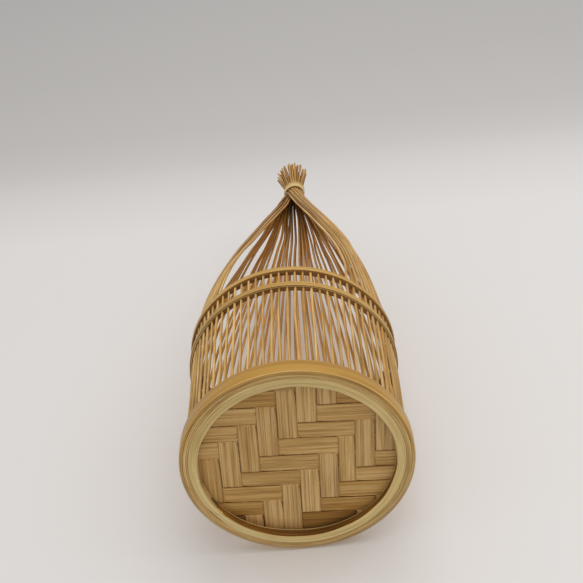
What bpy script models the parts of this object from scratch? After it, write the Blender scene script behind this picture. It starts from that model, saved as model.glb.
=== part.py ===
# Ikebana basket: round bamboo rods held by drilled hoops on a woven base,
# open at the front and tied together at the top.
# Units are metres, +Z is up, the origin is at the bottom centre of the base.
# The flower opening faces -Y.

import math

import bmesh
import bpy
from mathutils import Vector

MM = 0.001

# ---- driving dimensions (millimetres) --------------------------------------

GAP = 0.3                    # clearance between neighbouring pieces

BASE_R = 60.0                # outer radius of the base at its lower edge
BAND_H = 9.3                 # height of the outer band
BAND_IN_R = 58.4             # inner radius of the outer band
HOOP_SEGS = 48               # facets around the plain hoops

THIN_HOOPS = (("base_thin_hoop_outer", 57.55, 58.1),
              ("base_thin_hoop_middle", 56.7, 57.25),
              ("base_thin_hoop_inner", 55.85, 56.4))
THIN_H = 2.8                 # height of the three thin hoops

INNER_HOOP_IN_R = 50.9       # wide light hoop seen from below
INNER_HOOP_OUT_R = 55.55
INNER_HOOP_H = 4.9
KEEPER_IN_R = 51.6           # hoop that holds the woven panel from above
KEEPER_Z0 = 6.95

PANEL_R = 55.2               # outer radius of the woven panel
PANEL_Z = 5.9                # middle of the two layers of strips
STRIP_T = 0.5                # thickness of one strip
STRIP_LIFT = 0.4             # height of a strip above or below the middle
STRIP_GAP = 0.5              # gap between two strips side by side
STRIP_STEP = 0.45            # half length of the step from layer to layer
WEAVE_TURN = 3.0             # the weave is turned by this many degrees
COL_EDGES = (-51.6, -40.0, -29.7, -19.6, -9.3, 0.7, 10.8, 20.8, 29.5, 39.7, 51.6)
ROW_EDGES = (-55.0, -45.0, -34.7, -23.7, -13.5, -2.4, 8.0, 17.8, 28.6, 38.5, 51.6)

ROD_N = 82                   # rods around the basket
ROD_R = 0.75                 # rod radius
ROD_CIRCLE_R = 57.0          # radius of the circle of rods
ROD_Z0 = 3.1                 # lower end of the rods, on the thin hoops
ROD_TURN = -0.25             # degrees that the rod circle is turned by

RING_IN_R = 55.1             # the two drilled rings
RING_OUT_R = 59.0
MID_Z0, MID_Z1 = 77.6, 81.4
UP_Z0, UP_Z1 = 93.1, 96.4
HOLE_HALF = 1.05             # half side of a drilled hole

FRONT_FIRST, FRONT_LAST = -9, 7      # rods that end in the upper ring
FRONT_TOP = 96.8

TIE_X, TIE_Y = 5.7, 2.0      # the top is tied a little right of and behind the axis
TIE_Z0, TIE_Z1 = 289.6, 296.8
TIE_IN_R = 6.4
TIE_T = 0.8
TIE_W = 3.45                 # width of the binding strip
TIE_STEP = (58.0, 122.0)     # the strip rises to its second turn between these angles, at the back
CORE_R = 6.1                 # the rods are pressed together inside this radius

TUFT_Z = 322.0               # height of the rod ends
TUFT_R = 11.0                # radius of the fanned rod ends

# name, first rod, last rod, centre of its place in the tie (x to the right, y back)
BUNDLES = (
    ("right_front_rods", 8, 16, -0.4, -4.5),
    ("right_side_rods", 17, 24, 3.9, -1.5),
    ("right_back_rods", 25, 32, 3.6, 2.6),
    ("back_rods_right", 33, 40, 0.6, 4.6),
    ("back_rods_left", -41, -34, 0.2, 0.9),
    ("left_back_rods", -33, -26, -3.0, 3.7),
    ("left_side_rods", -25, -18, -4.3, 0.4),
    ("left_front_rods", -17, -10, -1.7, -1.8),
)

GOLD = (0.52, 0.33, 0.13)
LIGHT = (0.50, 0.42, 0.22)
WEAVE = (0.42, 0.27, 0.12)
ROD = (0.55, 0.34, 0.14)
TIE = (0.60, 0.46, 0.22)


# ---- helpers ----------------------------------------------------------------

def clear_scene():
    for ob in list(bpy.data.objects):
        bpy.data.objects.remove(ob, do_unlink=True)


def make_material(name, colour, roughness):
    mat = bpy.data.materials.new(name)
    mat.use_nodes = True
    bsdf = mat.node_tree.nodes["Principled BSDF"]
    bsdf.inputs["Base Color"].default_value = (*colour, 1.0)
    bsdf.inputs["Roughness"].default_value = roughness
    bsdf.inputs["Metallic"].default_value = 0.0
    return mat


def mesh_object(name, verts, faces, colour, roughness=0.5, smooth=True):
    """Closed solid from points in millimetres."""
    mesh = bpy.data.meshes.new(name)
    mesh.from_pydata([(x * MM, y * MM, z * MM) for x, y, z in verts], [], faces)
    bm = bmesh.new()
    bm.from_mesh(mesh)
    bmesh.ops.recalc_face_normals(bm, faces=bm.faces)
    bm.to_mesh(mesh)
    bm.free()
    if smooth:
        mesh.shade_smooth()
        mesh.set_sharp_from_angle(angle=math.radians(40))
    ob = bpy.data.objects.new(name, mesh)
    bpy.context.scene.collection.objects.link(ob)
    ob.data.materials.append(make_material(name, colour, roughness))
    return ob


def as_cutter(ob):
    ob.hide_render = True
    ob.display_type = 'WIRE'
    return ob


def apply_and_fill(ob):
    """Apply the modifiers and fill small gaps enclosed between pressed rods."""
    bpy.context.view_layer.update()
    graph = bpy.context.evaluated_depsgraph_get()
    mesh = bpy.data.meshes.new_from_object(ob.evaluated_get(graph), depsgraph=graph)
    ob.modifiers.clear()
    bm = bmesh.new()
    bm.from_mesh(mesh)
    bmesh.ops.remove_doubles(bm, verts=bm.verts, dist=0.0000001)
    bmesh.ops.dissolve_degenerate(bm, edges=bm.edges, dist=0.0000001)
    bmesh.ops.triangulate(bm, faces=bm.faces)
    bm.verts.ensure_lookup_table()
    seen = set()
    islands = []
    for v in bm.verts:
        if v in seen:
            continue
        stack, island = [v], []
        seen.add(v)
        while stack:
            u = stack.pop()
            island.append(u)
            for e in u.link_edges:
                w = e.other_vert(u)
                if w not in seen:
                    seen.add(w)
                    stack.append(w)
        islands.append(island)
    islands.sort(key=len)
    inner = [v for island in islands[:-1] for v in island]
    bmesh.ops.delete(bm, geom=inner, context='VERTS')
    bm.to_mesh(mesh)
    bm.free()
    ob.data = mesh


def hoop(name, profile, colour, segs=HOOP_SEGS, roughness=0.5):
    """Closed hoop: a profile of (radius, height) turned around Z."""
    verts, faces = [], []
    n = len(profile)
    for i in range(segs):
        a = 2 * math.pi * i / segs
        for r, z in profile:
            verts.append((r * math.cos(a), r * math.sin(a), z))
    for i in range(segs):
        j = (i + 1) % segs
        for k in range(n):
            m = (k + 1) % n
            faces.append((i * n + k, j * n + k, j * n + m, i * n + m))
    return mesh_object(name, verts, faces, colour, roughness)


def scarfed_hoop(name, profile, colour, joint_deg, lap_deg, segs=HOOP_SEGS, roughness=0.5):
    """Bent strip whose two ends meet in a slanted scarf with a thin gap."""
    verts, faces = [], []
    n = len(profile)
    r_in = min(p[0] for p in profile)
    r_out = max(p[0] for p in profile)
    gap = math.degrees(GAP / r_in)
    for i in range(segs + 1):
        f = i / segs
        for r, z in profile:
            slant = lap_deg * ((r - r_in) / (r_out - r_in) - 0.5)
            # the slant fades out away from the joint, so the facets stay even
            fade = max(0.0, 1.0 - min(f, 1.0 - f) * 8.0)
            a = math.radians(joint_deg + gap / 2 + f * (360.0 - gap) + slant * fade)
            verts.append((r * math.cos(a), r * math.sin(a), z))
    for i in range(segs):
        for k in range(n):
            m = (k + 1) % n
            faces.append((i * n + k, (i + 1) * n + k, (i + 1) * n + m, i * n + m))
    faces.append(tuple(range(n)))
    faces.append(tuple(segs * n + k for k in reversed(range(n))))
    return mesh_object(name, verts, faces, colour, roughness)


def rod_angle(k):
    """Angle of rod k from the front, positive to the right, in radians."""
    return math.radians((k + 0.5) * 360.0 / ROD_N + ROD_TURN)


def rod_xy(k, r=ROD_CIRCLE_R):
    a = rod_angle(k)
    return r * math.sin(a), -r * math.cos(a)


def drilled_ring(name, z0, z1, colour):
    """Hoop with one square-cut hole for each rod."""
    verts, faces = [], []
    half = math.pi / ROD_N
    for k in range(ROD_N):
        a = rod_angle(k)
        b = a - half
        for z in (z0, z1):
            for r in (RING_IN_R, RING_OUT_R):
                verts.append((r * math.sin(b), -r * math.cos(b), z))
        er = (math.sin(a), -math.cos(a))
        et = (math.cos(a), math.sin(a))
        for z in (z0, z1):
            for t, r in ((-1, -1), (1, -1), (1, 1), (-1, 1)):
                rr = ROD_CIRCLE_R + r * HOLE_HALF
                tt = t * HOLE_HALF
                verts.append((er[0] * rr + et[0] * tt, er[1] * rr + et[1] * tt, z))
    for k in range(ROD_N):
        o = k * 12
        q = ((k + 1) % ROD_N) * 12
        for level in (0, 1):
            c = (o + 2 * level, q + 2 * level, q + 2 * level + 1, o + 2 * level + 1)
            h = tuple(o + 4 + 4 * level + s for s in range(4))
            for s in range(4):
                faces.append((c[s], c[(s + 1) % 4], h[(s + 1) % 4], h[s]))
        for s in range(4):
            faces.append((o + 4 + s, o + 4 + (s + 1) % 4, o + 8 + (s + 1) % 4, o + 8 + s))
        faces.append((o, q, q + 2, o + 2))
        faces.append((o + 1, q + 1, q + 3, o + 3))
    return mesh_object(name, verts, faces, colour, 0.4, smooth=False)


def tube_data(points, radii, sides, phase=0.0):
    """Points and faces of a closed tube along a smooth line."""
    pts = [Vector(p) for p in points]
    verts, faces = [], []
    side = None
    for i, p in enumerate(pts):
        a = pts[max(i - 1, 0)]
        b = pts[min(i + 1, len(pts) - 1)]
        d = (b - a).normalized()
        if side is None:
            side = Vector((p.x, p.y, 0.0)).normalized()
        side = (side - d * side.dot(d)).normalized()
        other = d.cross(side)
        for s in range(sides):
            w = 2 * math.pi * s / sides + phase
            verts.append(tuple(p + (side * math.cos(w) + other * math.sin(w)) * radii[i]))
    for i in range(len(pts) - 1):
        for s in range(sides):
            m = (s + 1) % sides
            faces.append((i * sides + s, i * sides + m, (i + 1) * sides + m, (i + 1) * sides + s))
    faces.append(tuple(reversed(range(sides))))
    faces.append(tuple((len(pts) - 1) * sides + s for s in range(sides)))
    return verts, faces


def clip_halfplane(poly, px, py, nx, ny):
    """Part of a convex polygon on the inner side of a line."""
    out = []
    for i, a in enumerate(poly):
        b = poly[(i + 1) % len(poly)]
        da = (a[0] - px) * nx + (a[1] - py) * ny
        db = (b[0] - px) * nx + (b[1] - py) * ny
        if da <= 0:
            out.append(a)
        if (da < 0 < db) or (db < 0 < da):
            f = da / (da - db)
            out.append((a[0] + (b[0] - a[0]) * f, a[1] + (b[1] - a[1]) * f))
    return out


def bundle_cell(index, margin):
    """Outline inside the tie that is nearest to this bundle's centre."""
    r = CORE_R - margin
    poly = [(r * math.cos(math.pi * s / 12), r * math.sin(math.pi * s / 12)) for s in range(24)]
    cx, cy = BUNDLES[index][3:5]
    for j, other in enumerate(BUNDLES):
        if j == index:
            continue
        dx, dy = other[3] - cx, other[4] - cy
        dist = math.hypot(dx, dy)
        nx, ny = dx / dist, dy / dist
        mx = (cx + other[3]) / 2 - nx * (GAP / 2 + margin)
        my = (cy + other[4]) / 2 - ny * (GAP / 2 + margin)
        poly = clip_halfplane(poly, mx, my, nx, ny)
    return poly


def inside(poly, x, y):
    for i, a in enumerate(poly):
        b = poly[(i + 1) % len(poly)]
        if (b[0] - a[0]) * (y - a[1]) - (b[1] - a[1]) * (x - a[0]) < 0:
            return False
    return True


def places_in_cell(poly, count):
    """Evenly packed places for the rods inside an outline."""
    pitch = 1.8
    while pitch > 0.3:
        rows = int(14 / (pitch * 0.866)) + 1
        spots = []
        for i in range(-rows, rows + 1):
            for j in range(-rows, rows + 1):
                x = (j + 0.5 * (i % 2)) * pitch
                y = i * pitch * 0.866
                if inside(poly, x, y):
                    spots.append((x, y))
        if len(spots) >= count:
            mx = sum(s[0] for s in spots) / len(spots)
            my = sum(s[1] for s in spots) / len(spots)
            spots.sort(key=lambda s: (s[0] - mx) ** 2 + (s[1] - my) ** 2)
            return spots[:count]
        pitch *= 0.97
    return []


def bezier(p0, p1, p2, p3, t):
    return (p0 * (1 - t) ** 3 + p1 * 3 * (1 - t) ** 2 * t
            + p2 * 3 * (1 - t) * t * t + p3 * t ** 3)


def gathered_rod_line(k, centre_k, spot):
    """Line of a rod from the base through both rings to the tie and the tuft."""
    x, y = rod_xy(k)
    a = rod_angle(k)
    ac = rod_angle(centre_k)
    pull = ac + (a - ac) * 0.72          # rods of one bundle draw together
    p0 = Vector((x, y, UP_Z1 + 0.8))
    p1 = Vector((51.8 * math.sin(a), -51.8 * math.cos(a), 145.0))
    tie = Vector((TIE_X + spot[0], TIE_Y + spot[1], TIE_Z0))
    far = Vector((57.0 * math.sin(pull) - tie.x, -57.0 * math.cos(pull) - tie.y, 0.0)).normalized()
    p2 = tie + far * 45.0
    p2.z = 176.0
    points = [(x, y, ROD_Z0), (x, y, UP_Z1 + 0.8)]
    radii = [ROD_R, ROD_R]
    for t in (0.24, 0.46, 0.7, 1.0):
        points.append(tuple(bezier(p0, p1, p2, tie, t)))
        radii.append(ROD_R if t < 0.6 else (0.7 if t < 0.9 else 0.6))
    points.append((tie.x, tie.y, TIE_Z1 + 0.2))
    radii.append(0.6)
    grow = TUFT_R / CORE_R
    tip = Vector((TIE_X + spot[0] * grow, TIE_Y + spot[1] * grow,
                  TUFT_Z - 0.05 * (spot[0] ** 2 + spot[1] ** 2)))
    points.append(tuple(tip))
    radii.append(0.6)
    return points, radii


# ---- base ---------------------------------------------------------------------

def build_base():
    hoop("base_outer_band",
         ((BAND_IN_R, 0.0), (59.3, 0.0), (BASE_R, 0.5), (60.35, 1.6),
          (60.45, BAND_H - 0.3), (60.15, BAND_H), (BAND_IN_R, BAND_H)),
         GOLD, roughness=0.3)
    for name, r0, r1 in THIN_HOOPS:
        hoop(name, ((r0, 0.15), (r1, 0.15), (r1, THIN_H), (r0, THIN_H)), LIGHT)
    scarfed_hoop("base_inner_hoop",
                 ((INNER_HOOP_IN_R, 0.4), (51.3, 0.0), (55.2, 0.0),
                  (INNER_HOOP_OUT_R, 0.3), (INNER_HOOP_OUT_R, INNER_HOOP_H),
                  (INNER_HOOP_IN_R, INNER_HOOP_H)),
                 LIGHT, joint_deg=147.0, lap_deg=9.0)
    hoop("panel_keeper_hoop",
         ((KEEPER_IN_R, KEEPER_Z0), (INNER_HOOP_OUT_R, KEEPER_Z0),
          (INNER_HOOP_OUT_R, BAND_H - 0.3), (KEEPER_IN_R, BAND_H - 0.3)),
         GOLD)


def across_below(col, row):
    """True where the strip that runs left to right lies on the underside."""
    return (col + row - 2) % 6 in (0, 1, 2)


def strip_solid(name, edges, index, cross_edges, below, across, cutter):
    """Flat strip that steps between the two layers at the crossings."""
    w0 = edges[index] + STRIP_GAP / 2
    w1 = edges[index + 1] - STRIP_GAP / 2
    sections = []
    reach = PANEL_R + 2.0
    last = None
    for j in range(len(cross_edges) - 1):
        lift = -STRIP_LIFT if below(j) else STRIP_LIFT
        if j == 0:
            sections.append((-reach, lift))
        elif lift != last:
            sections.append((cross_edges[j] - STRIP_STEP, last))
            sections.append((cross_edges[j] + STRIP_STEP, lift))
        last = lift
    sections.append((reach, last))
    a = math.radians(WEAVE_TURN)
    ca, sa = math.cos(a), math.sin(a)
    verts, faces = [], []
    for s, lift in sections:
        for w, dz in ((w0, -1), (w1, -1), (w1, 1), (w0, 1)):
            # s runs along the strip, w across it
            u, v = (s, w) if across else (w, s)
            x, y = u * ca - v * sa, u * sa + v * ca
            verts.append((x, y, PANEL_Z + lift + dz * STRIP_T / 2))
    n = len(sections)
    for i in range(n - 1):
        for k in range(4):
            m = (k + 1) % 4
            faces.append((i * 4 + k, i * 4 + m, (i + 1) * 4 + m, (i + 1) * 4 + k))
    faces.append((3, 2, 1, 0))
    faces.append(tuple((n - 1) * 4 + k for k in range(4)))
    ob = mesh_object(name, verts, faces, WEAVE, 0.55, smooth=False)
    trim = ob.modifiers.new("trim_to_circle", 'BOOLEAN')
    trim.operation = 'INTERSECT'
    trim.solver = 'EXACT'
    trim.object = cutter
    return ob


def build_weave():
    verts, faces = [], []
    for z in (0.0, 12.0):
        for i in range(HOOP_SEGS):
            a = 2 * math.pi * i / HOOP_SEGS
            verts.append((PANEL_R * math.cos(a), PANEL_R * math.sin(a), z))
    for i in range(HOOP_SEGS):
        j = (i + 1) % HOOP_SEGS
        faces.append((i, j, HOOP_SEGS + j, HOOP_SEGS + i))
    faces.append(tuple(reversed(range(HOOP_SEGS))))
    faces.append(tuple(HOOP_SEGS + i for i in range(HOOP_SEGS)))
    cutter = as_cutter(mesh_object("panel_outline", verts, faces, WEAVE))
    for r in range(len(ROW_EDGES) - 1):
        strip_solid("weave_strip_across_%02d" % (r + 1), ROW_EDGES, r, COL_EDGES,
                    lambda j, r=r: across_below(j, r), True, cutter)
    for c in range(len(COL_EDGES) - 1):
        strip_solid("weave_strip_along_%02d" % (c + 1), COL_EDGES, c, ROW_EDGES,
                    lambda j, c=c: not across_below(c, j), False, cutter)


# ---- rods, rings and tie -------------------------------------------------------

def build_rods():
    number = 0
    for k in range(FRONT_FIRST, FRONT_LAST + 1):
        number += 1
        x, y = rod_xy(k)
        verts, faces = tube_data([(x, y, ROD_Z0), (x, y, FRONT_TOP)], [ROD_R, ROD_R], 6)
        mesh_object("front_rod_%02d" % number, verts, faces, ROD, 0.4)
    for index, (name, first, last, _cx, _cy) in enumerate(BUNDLES):
        count = last - first + 1
        centre_k = (first + last) / 2
        cell = bundle_cell(index, 0.0)
        spots = places_in_cell(bundle_cell(index, 0.6), count)
        # neighbours in the ring stay neighbours in the tie
        mid = rod_angle(centre_k)
        spots.sort(key=lambda s: s[0] * math.cos(mid) + s[1] * math.sin(mid))
        verts, faces = [], []
        for n, k in enumerate(range(first, last + 1)):
            points, radii = gathered_rod_line(k, centre_k, spots[n])
            v, f = tube_data(points, radii, 5, phase=0.37 * n)
            o = len(verts)
            verts += v
            faces += [tuple(o + i for i in face) for face in f]
        rods = as_cutter(mesh_object(name + "_single", verts, faces, ROD, smooth=False))
        m = len(cell)
        pv = [(TIE_X + x, TIE_Y + y, z) for z in (TIE_Z0 + 1.6, TIE_Z1 - 1.6) for x, y in cell]
        pf = [(i, (i + 1) % m, m + (i + 1) % m, m + i) for i in range(m)]
        pf.append(tuple(reversed(range(m))))
        pf.append(tuple(m + i for i in range(m)))
        ob = mesh_object(name, pv, pf, ROD, 0.4, smooth=False)
        join = ob.modifiers.new("rods_pressed_together", 'BOOLEAN')
        join.operation = 'UNION'
        join.solver = 'EXACT'
        join.use_self = True
        join.object = rods
        apply_and_fill(ob)
        bpy.data.objects.remove(rods, do_unlink=True)


def build_tie():
    """One flat strip wound twice around the rods: it rises to the second turn at the back."""
    verts, faces = [], []
    lo, hi = TIE_STEP
    rise = TIE_Z1 - TIE_Z0 - TIE_W
    stations = []
    for turn in range(2):
        for i in range(25):
            stations.append((hi + (360.0 - (hi - lo)) * i / 24 + 360.0 * turn, rise * turn))
        if turn == 0:
            for i in range(1, 6):
                f = i / 6
                stations.append((lo + 360.0 + (hi - lo) * f, rise * f))
    for deg, up in stations:
        a = math.radians(deg)
        z = TIE_Z0 + up
        for r, dz in ((TIE_IN_R, 0.0), (TIE_IN_R + TIE_T, 0.0),
                      (TIE_IN_R + TIE_T, TIE_W), (TIE_IN_R, TIE_W)):
            verts.append((TIE_X + r * math.cos(a), TIE_Y + r * math.sin(a), z + dz))
    for i in range(len(stations) - 1):
        for k in range(4):
            m = (k + 1) % 4
            faces.append((i * 4 + k, i * 4 + m, (i + 1) * 4 + m, (i + 1) * 4 + k))
    faces.append((3, 2, 1, 0))
    faces.append(tuple((len(stations) - 1) * 4 + k for k in range(4)))
    mesh_object("tie_strip", verts, faces, TIE, 0.5, smooth=False)


def main():
    clear_scene()
    build_base()
    build_weave()
    drilled_ring("mid_ring", MID_Z0, MID_Z1, GOLD)
    drilled_ring("upper_ring", UP_Z0, UP_Z1, GOLD)
    build_rods()
    build_tie()


main()
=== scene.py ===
import math

import bmesh
import bpy
import numpy as np
from mathutils import Matrix, Vector


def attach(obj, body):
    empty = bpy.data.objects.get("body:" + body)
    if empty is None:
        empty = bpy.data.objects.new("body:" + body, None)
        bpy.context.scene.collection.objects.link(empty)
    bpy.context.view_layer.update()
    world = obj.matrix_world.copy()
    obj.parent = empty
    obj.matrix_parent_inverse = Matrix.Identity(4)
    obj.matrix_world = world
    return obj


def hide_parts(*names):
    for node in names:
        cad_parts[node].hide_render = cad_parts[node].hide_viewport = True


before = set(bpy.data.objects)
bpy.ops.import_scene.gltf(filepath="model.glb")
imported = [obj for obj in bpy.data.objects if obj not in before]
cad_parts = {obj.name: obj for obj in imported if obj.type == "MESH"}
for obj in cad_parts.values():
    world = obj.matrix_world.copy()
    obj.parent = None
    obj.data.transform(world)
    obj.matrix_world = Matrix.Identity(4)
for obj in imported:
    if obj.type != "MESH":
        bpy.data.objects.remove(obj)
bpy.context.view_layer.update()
MM = 0.001
RNG = np.random.default_rng(20)

# ---- dimensions (millimetres), the same as in the CAD source -----------------------

ROD_N, ROD_R, ROD_CIRCLE = 82, 0.72, 57.0
FRONT = range(-9, 8)
MID_Z0, MID_Z1 = 77.6, 81.4
UP_Z0, UP_Z1 = 93.1, 96.4
TIE_X, TIE_Y, TIE_Z0, TIE_Z1 = 5.7, 2.0, 289.6, 296.8
COL = (-51.6, -40.0, -29.7, -19.6, -9.3, 0.7, 10.8, 20.8, 29.5, 39.7, 51.6)
ROW = (-55.0, -45.0, -34.7, -23.7, -13.5, -2.4, 8.0, 17.8, 28.6, 38.5, 51.6)
PANEL_R, PANEL_Z, WEAVE_TURN = 55.2, 5.9, math.radians(3.0)

# ---- camera: fitted to the circles and rods of the basket --------------------------

CAMERA_AT = np.array((0.02479457, -0.38190406, -0.41653130))
RIGHT = np.array((0.99477972, 0.09922473, -0.02382793))
DOWN = np.array((-0.09581984, 0.82795422, -0.55254898))
AHEAD = np.array((-0.03509808, 0.55194771, 0.83313976))
FOCAL, PICTURE = 1100.0, 583.0


def seen(points):
    """Picture position (pixels) of points in millimetres, as the camera sees them."""
    d = np.atleast_2d(points) * MM - CAMERA_AT
    return np.stack([d @ RIGHT, d @ DOWN], -1) / (d @ AHEAD)[:, None] * FOCAL + PICTURE / 2


def rod_angle(k):
    """Angle of rod k from the front, positive to the right."""
    return math.radians((k + 0.5) * 360.0 / ROD_N - 0.25)


# ---- materials ------------------------------------------------------------------------

def lin(r, g, b):
    """Linear colour of 8-bit sRGB values."""
    out = []
    for c in (r, g, b):
        c /= 255.0
        out.append(c / 12.92 if c <= 0.04045 else ((c + 0.055) / 1.055) ** 2.4)
    return (*out, 1.0)


class Graph:
    """A small builder for a material's nodes."""

    def __init__(self, name):
        self.mat = bpy.data.materials.new(name)
        self.mat.use_nodes = True
        self.nt = self.mat.node_tree
        self.nt.nodes.clear()
        self.out = self.nt.nodes.new("ShaderNodeOutputMaterial")
        self.bsdf = self.nt.nodes.new("ShaderNodeBsdfPrincipled")
        self.nt.links.new(self.bsdf.outputs[0], self.out.inputs[0])

    def put(self, socket, value):
        if isinstance(value, bpy.types.NodeSocket):
            self.nt.links.new(value, socket)
        elif value is not None:
            socket.default_value = value

    def attr(self, name, out="Fac"):
        n = self.nt.nodes.new("ShaderNodeAttribute")
        n.attribute_name = name
        return n.outputs[out]

    def math(self, op, a, b=None, c=None, clamp=False):
        n = self.nt.nodes.new("ShaderNodeMath")
        n.operation, n.use_clamp = op, clamp
        for s, v in zip(n.inputs, (a, b, c)):
            self.put(s, v)
        return n.outputs[0]

    def scaled(self, vec, by, plus=(0.0, 0.0, 0.0)):
        n = self.nt.nodes.new("ShaderNodeVectorMath")
        n.operation = 'MULTIPLY_ADD'
        for s, v in zip(n.inputs, (vec, by, plus)):
            self.put(s, v)
        return n.outputs[0]

    def noise(self, vec, scale=1.0, detail=2.0, rough=0.5, distort=0.0):
        n = self.nt.nodes.new("ShaderNodeTexNoise")
        self.put(n.inputs["Vector"], vec)
        n.inputs["Scale"].default_value = scale
        n.inputs["Detail"].default_value = detail
        n.inputs["Roughness"].default_value = rough
        n.inputs["Distortion"].default_value = distort
        return n.outputs["Fac"]

    def ramp(self, fac, stops, mode='LINEAR'):
        n = self.nt.nodes.new("ShaderNodeValToRGB")
        n.color_ramp.interpolation = mode
        e = n.color_ramp.elements
        while len(e) < len(stops):
            e.new(0.5)
        for el, (p, c) in zip(e, stops):
            el.position = p
            el.color = c if hasattr(c, "__len__") else (c, c, c, 1.0)
        self.put(n.inputs[0], fac)
        return n.outputs[0]

    def mix(self, fac, a, b, blend='MIX'):
        n = self.nt.nodes.new("ShaderNodeMix")
        n.data_type, n.blend_type = 'RGBA', blend
        self.put(n.inputs[0], fac)
        self.put(n.inputs[6], a)
        self.put(n.inputs[7], b)
        return n.outputs[2]

    def hsv(self, col, hue, sat, val):
        n = self.nt.nodes.new("ShaderNodeHueSaturation")
        self.put(n.inputs["Hue"], hue)
        self.put(n.inputs["Saturation"], sat)
        self.put(n.inputs["Value"], val)
        self.put(n.inputs["Color"], col)
        return n.outputs[0]

    def bump(self, height, distance, strength=1.0):
        n = self.nt.nodes.new("ShaderNodeBump")
        n.inputs["Strength"].default_value = strength
        n.inputs["Distance"].default_value = distance
        self.put(n.inputs["Height"], height)
        return n.outputs[0]


RATIO = 0.02     # fibre texture: change along the fibre for one unit across it


def bamboo(name, dark, mid, light, across=1.2, lines=0.5, specks=0.35, rough=(0.36, 0.52),
           coat=0.0, coat_rough=0.3, bump=0.00003, edge=0.0, edge_power=5.0, stripe=0.0, mottle=0.3,
           spread=0.12, veins=0.0, knot=None, deepen=(0.58, 0.44, 0.31), shine=0.36):
    """Split bamboo: long fine fibres along "fib".z, with the tone of each piece from attributes.

    fib holds millimetres across the fibre in x and y, and along it in z."""
    g = Graph(name)
    fib = g.attr("fib", "Vector")
    tone = g.attr("tone")
    grey = g.attr("grey")
    along = across * RATIO
    fine = g.noise(g.scaled(fib, (across * 2.2, across * 2.2, along * 1.6)), 1.0, 4.0, 0.62)
    broad = g.noise(g.scaled(fib, (across * 0.42, across * 0.42, along * 0.7), (7.1, 3.3, 1.7)), 1.0, 2.0, 0.5)
    cloud = g.noise(g.scaled(fib, (0.16, 0.16, 0.035), (2.0, 9.0, 4.0)), 1.0, 3.0, 0.55)
    line = g.noise(g.scaled(fib, (across * 1.05, across * 1.05, along * 0.8), (3.0, 6.0, 2.0)), 1.0, 2.0, 0.6)
    body = g.math('ADD', g.math('MULTIPLY', fine, lines * 0.45), g.math('MULTIPLY', line, lines * 0.55))
    body = g.math('ADD', body, g.math('MULTIPLY', broad, 1.0 - lines))
    body = g.math('ADD', g.math('MULTIPLY', body, 1.0 - mottle), g.math('MULTIPLY', cloud, mottle))
    col = g.ramp(body, ((0.50 - spread, dark), (0.50, mid), (0.50 + spread, light)))
    # vascular bundles: short thin dark dashes along the fibre
    dash = g.noise(g.scaled(fib, (across * 4.6, across * 4.6, along * 9.0), (1.0, 5.0, 8.0)), 1.0, 2.0, 0.5)
    dash = g.math('MULTIPLY', g.ramp(dash, ((0.58, 0.0), (0.72, 1.0))), specks)
    deep = tuple(c * f for c, f in zip(dark[:3], deepen)) + (1.0,)
    col = g.mix(dash, col, deep)
    if veins:
        # crisp dark lines along the fibre, and a fainter set of light ones
        vein = g.noise(g.scaled(fib, (across * 0.62, across * 0.62, along * 0.10), (8.0, 3.0, 5.0)), 1.0, 2.0, 0.55)
        away = g.math('ABSOLUTE', g.math('SUBTRACT', vein, 0.5))
        col = g.mix(g.math('MULTIPLY', g.ramp(away, ((0.0, 1.0), (0.042, 0.0))), veins), col, deep)
        away = g.math('ABSOLUTE', g.math('SUBTRACT', vein, 0.60))
        col = g.mix(g.math('MULTIPLY', g.ramp(away, ((0.0, 1.0), (0.04, 0.0))), min(1.0, veins * 1.4)), col, light)
    if knot:
        # one small dark knot, at a place across and along the fibre
        sep = g.nt.nodes.new("ShaderNodeSeparateXYZ")
        g.put(sep.inputs[0], fib)
        du = g.math('ABSOLUTE', g.math('SUBTRACT', sep.outputs[0], knot[0]))
        dv = g.math('ABSOLUTE', g.math('SUBTRACT', sep.outputs[2], knot[1]))
        away = g.math('SQRT', g.math('ADD', g.math('MULTIPLY', du, du), g.math('MULTIPLY', dv, dv)))
        col = g.mix(g.ramp(away, ((0.15, 0.85), (0.50, 0.0))), col, deep)
    if stripe:
        # stronger light and dark lines on the strips that show them
        much = g.attr("stripe")
        band = g.noise(g.scaled(fib, (across * 1.1, across * 1.1, along * 0.35), (4.0, 2.0, 6.0)), 1.0, 3.0, 0.7)
        band = g.ramp(band, ((0.38, 0.0), (0.62, 1.0)))
        shade = g.math('MULTIPLY_ADD', g.math('SUBTRACT', band, 0.5), g.math('MULTIPLY', much, stripe), 1.0)
        col = g.hsv(col, 0.5, 1.0, shade)
    # the "edge" attribute mixes towards the deep colour: painted shade in the gaps and hidden lengths of the strips
    # and on the sides of the rods, with the rods' browner inner side
    if edge:
        side = g.attr("edge")
        side = g.math('MULTIPLY', g.math('POWER', side, edge_power), edge)
        col = g.mix(side, col, deep)
    # some pieces are redder than others
    col = g.mix(g.attr("red"), col, (0.95, 0.80, 0.66, 1.0), 'MULTIPLY')
    col = g.hsv(col, g.math('MULTIPLY_ADD', grey, 0.004, 0.5), g.math('MULTIPLY_ADD', grey, -0.12, 1.0),
                g.math('ADD', tone, 1.0))
    g.put(g.bsdf.inputs["Base Color"], col)
    rr = g.ramp(fine, ((0.30, rough[1]), (0.66, rough[0])))
    g.put(g.bsdf.inputs["Roughness"], rr)
    height = g.math('SUBTRACT', g.math('MULTIPLY', fine, 0.8), g.math('MULTIPLY', dash, 0.5))
    g.put(g.bsdf.inputs["Normal"], g.bump(height, bump))
    g.bsdf.inputs["Coat Weight"].default_value = coat
    g.bsdf.inputs["Coat Roughness"].default_value = coat_rough
    g.bsdf.inputs["IOR"].default_value = 1.45
    g.bsdf.inputs["Specular IOR Level"].default_value = shine
    return g.mat


KNOT_W, KNOT_S = 27.6, 15.0      # a knot on the eighth strip that runs front to back

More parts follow.
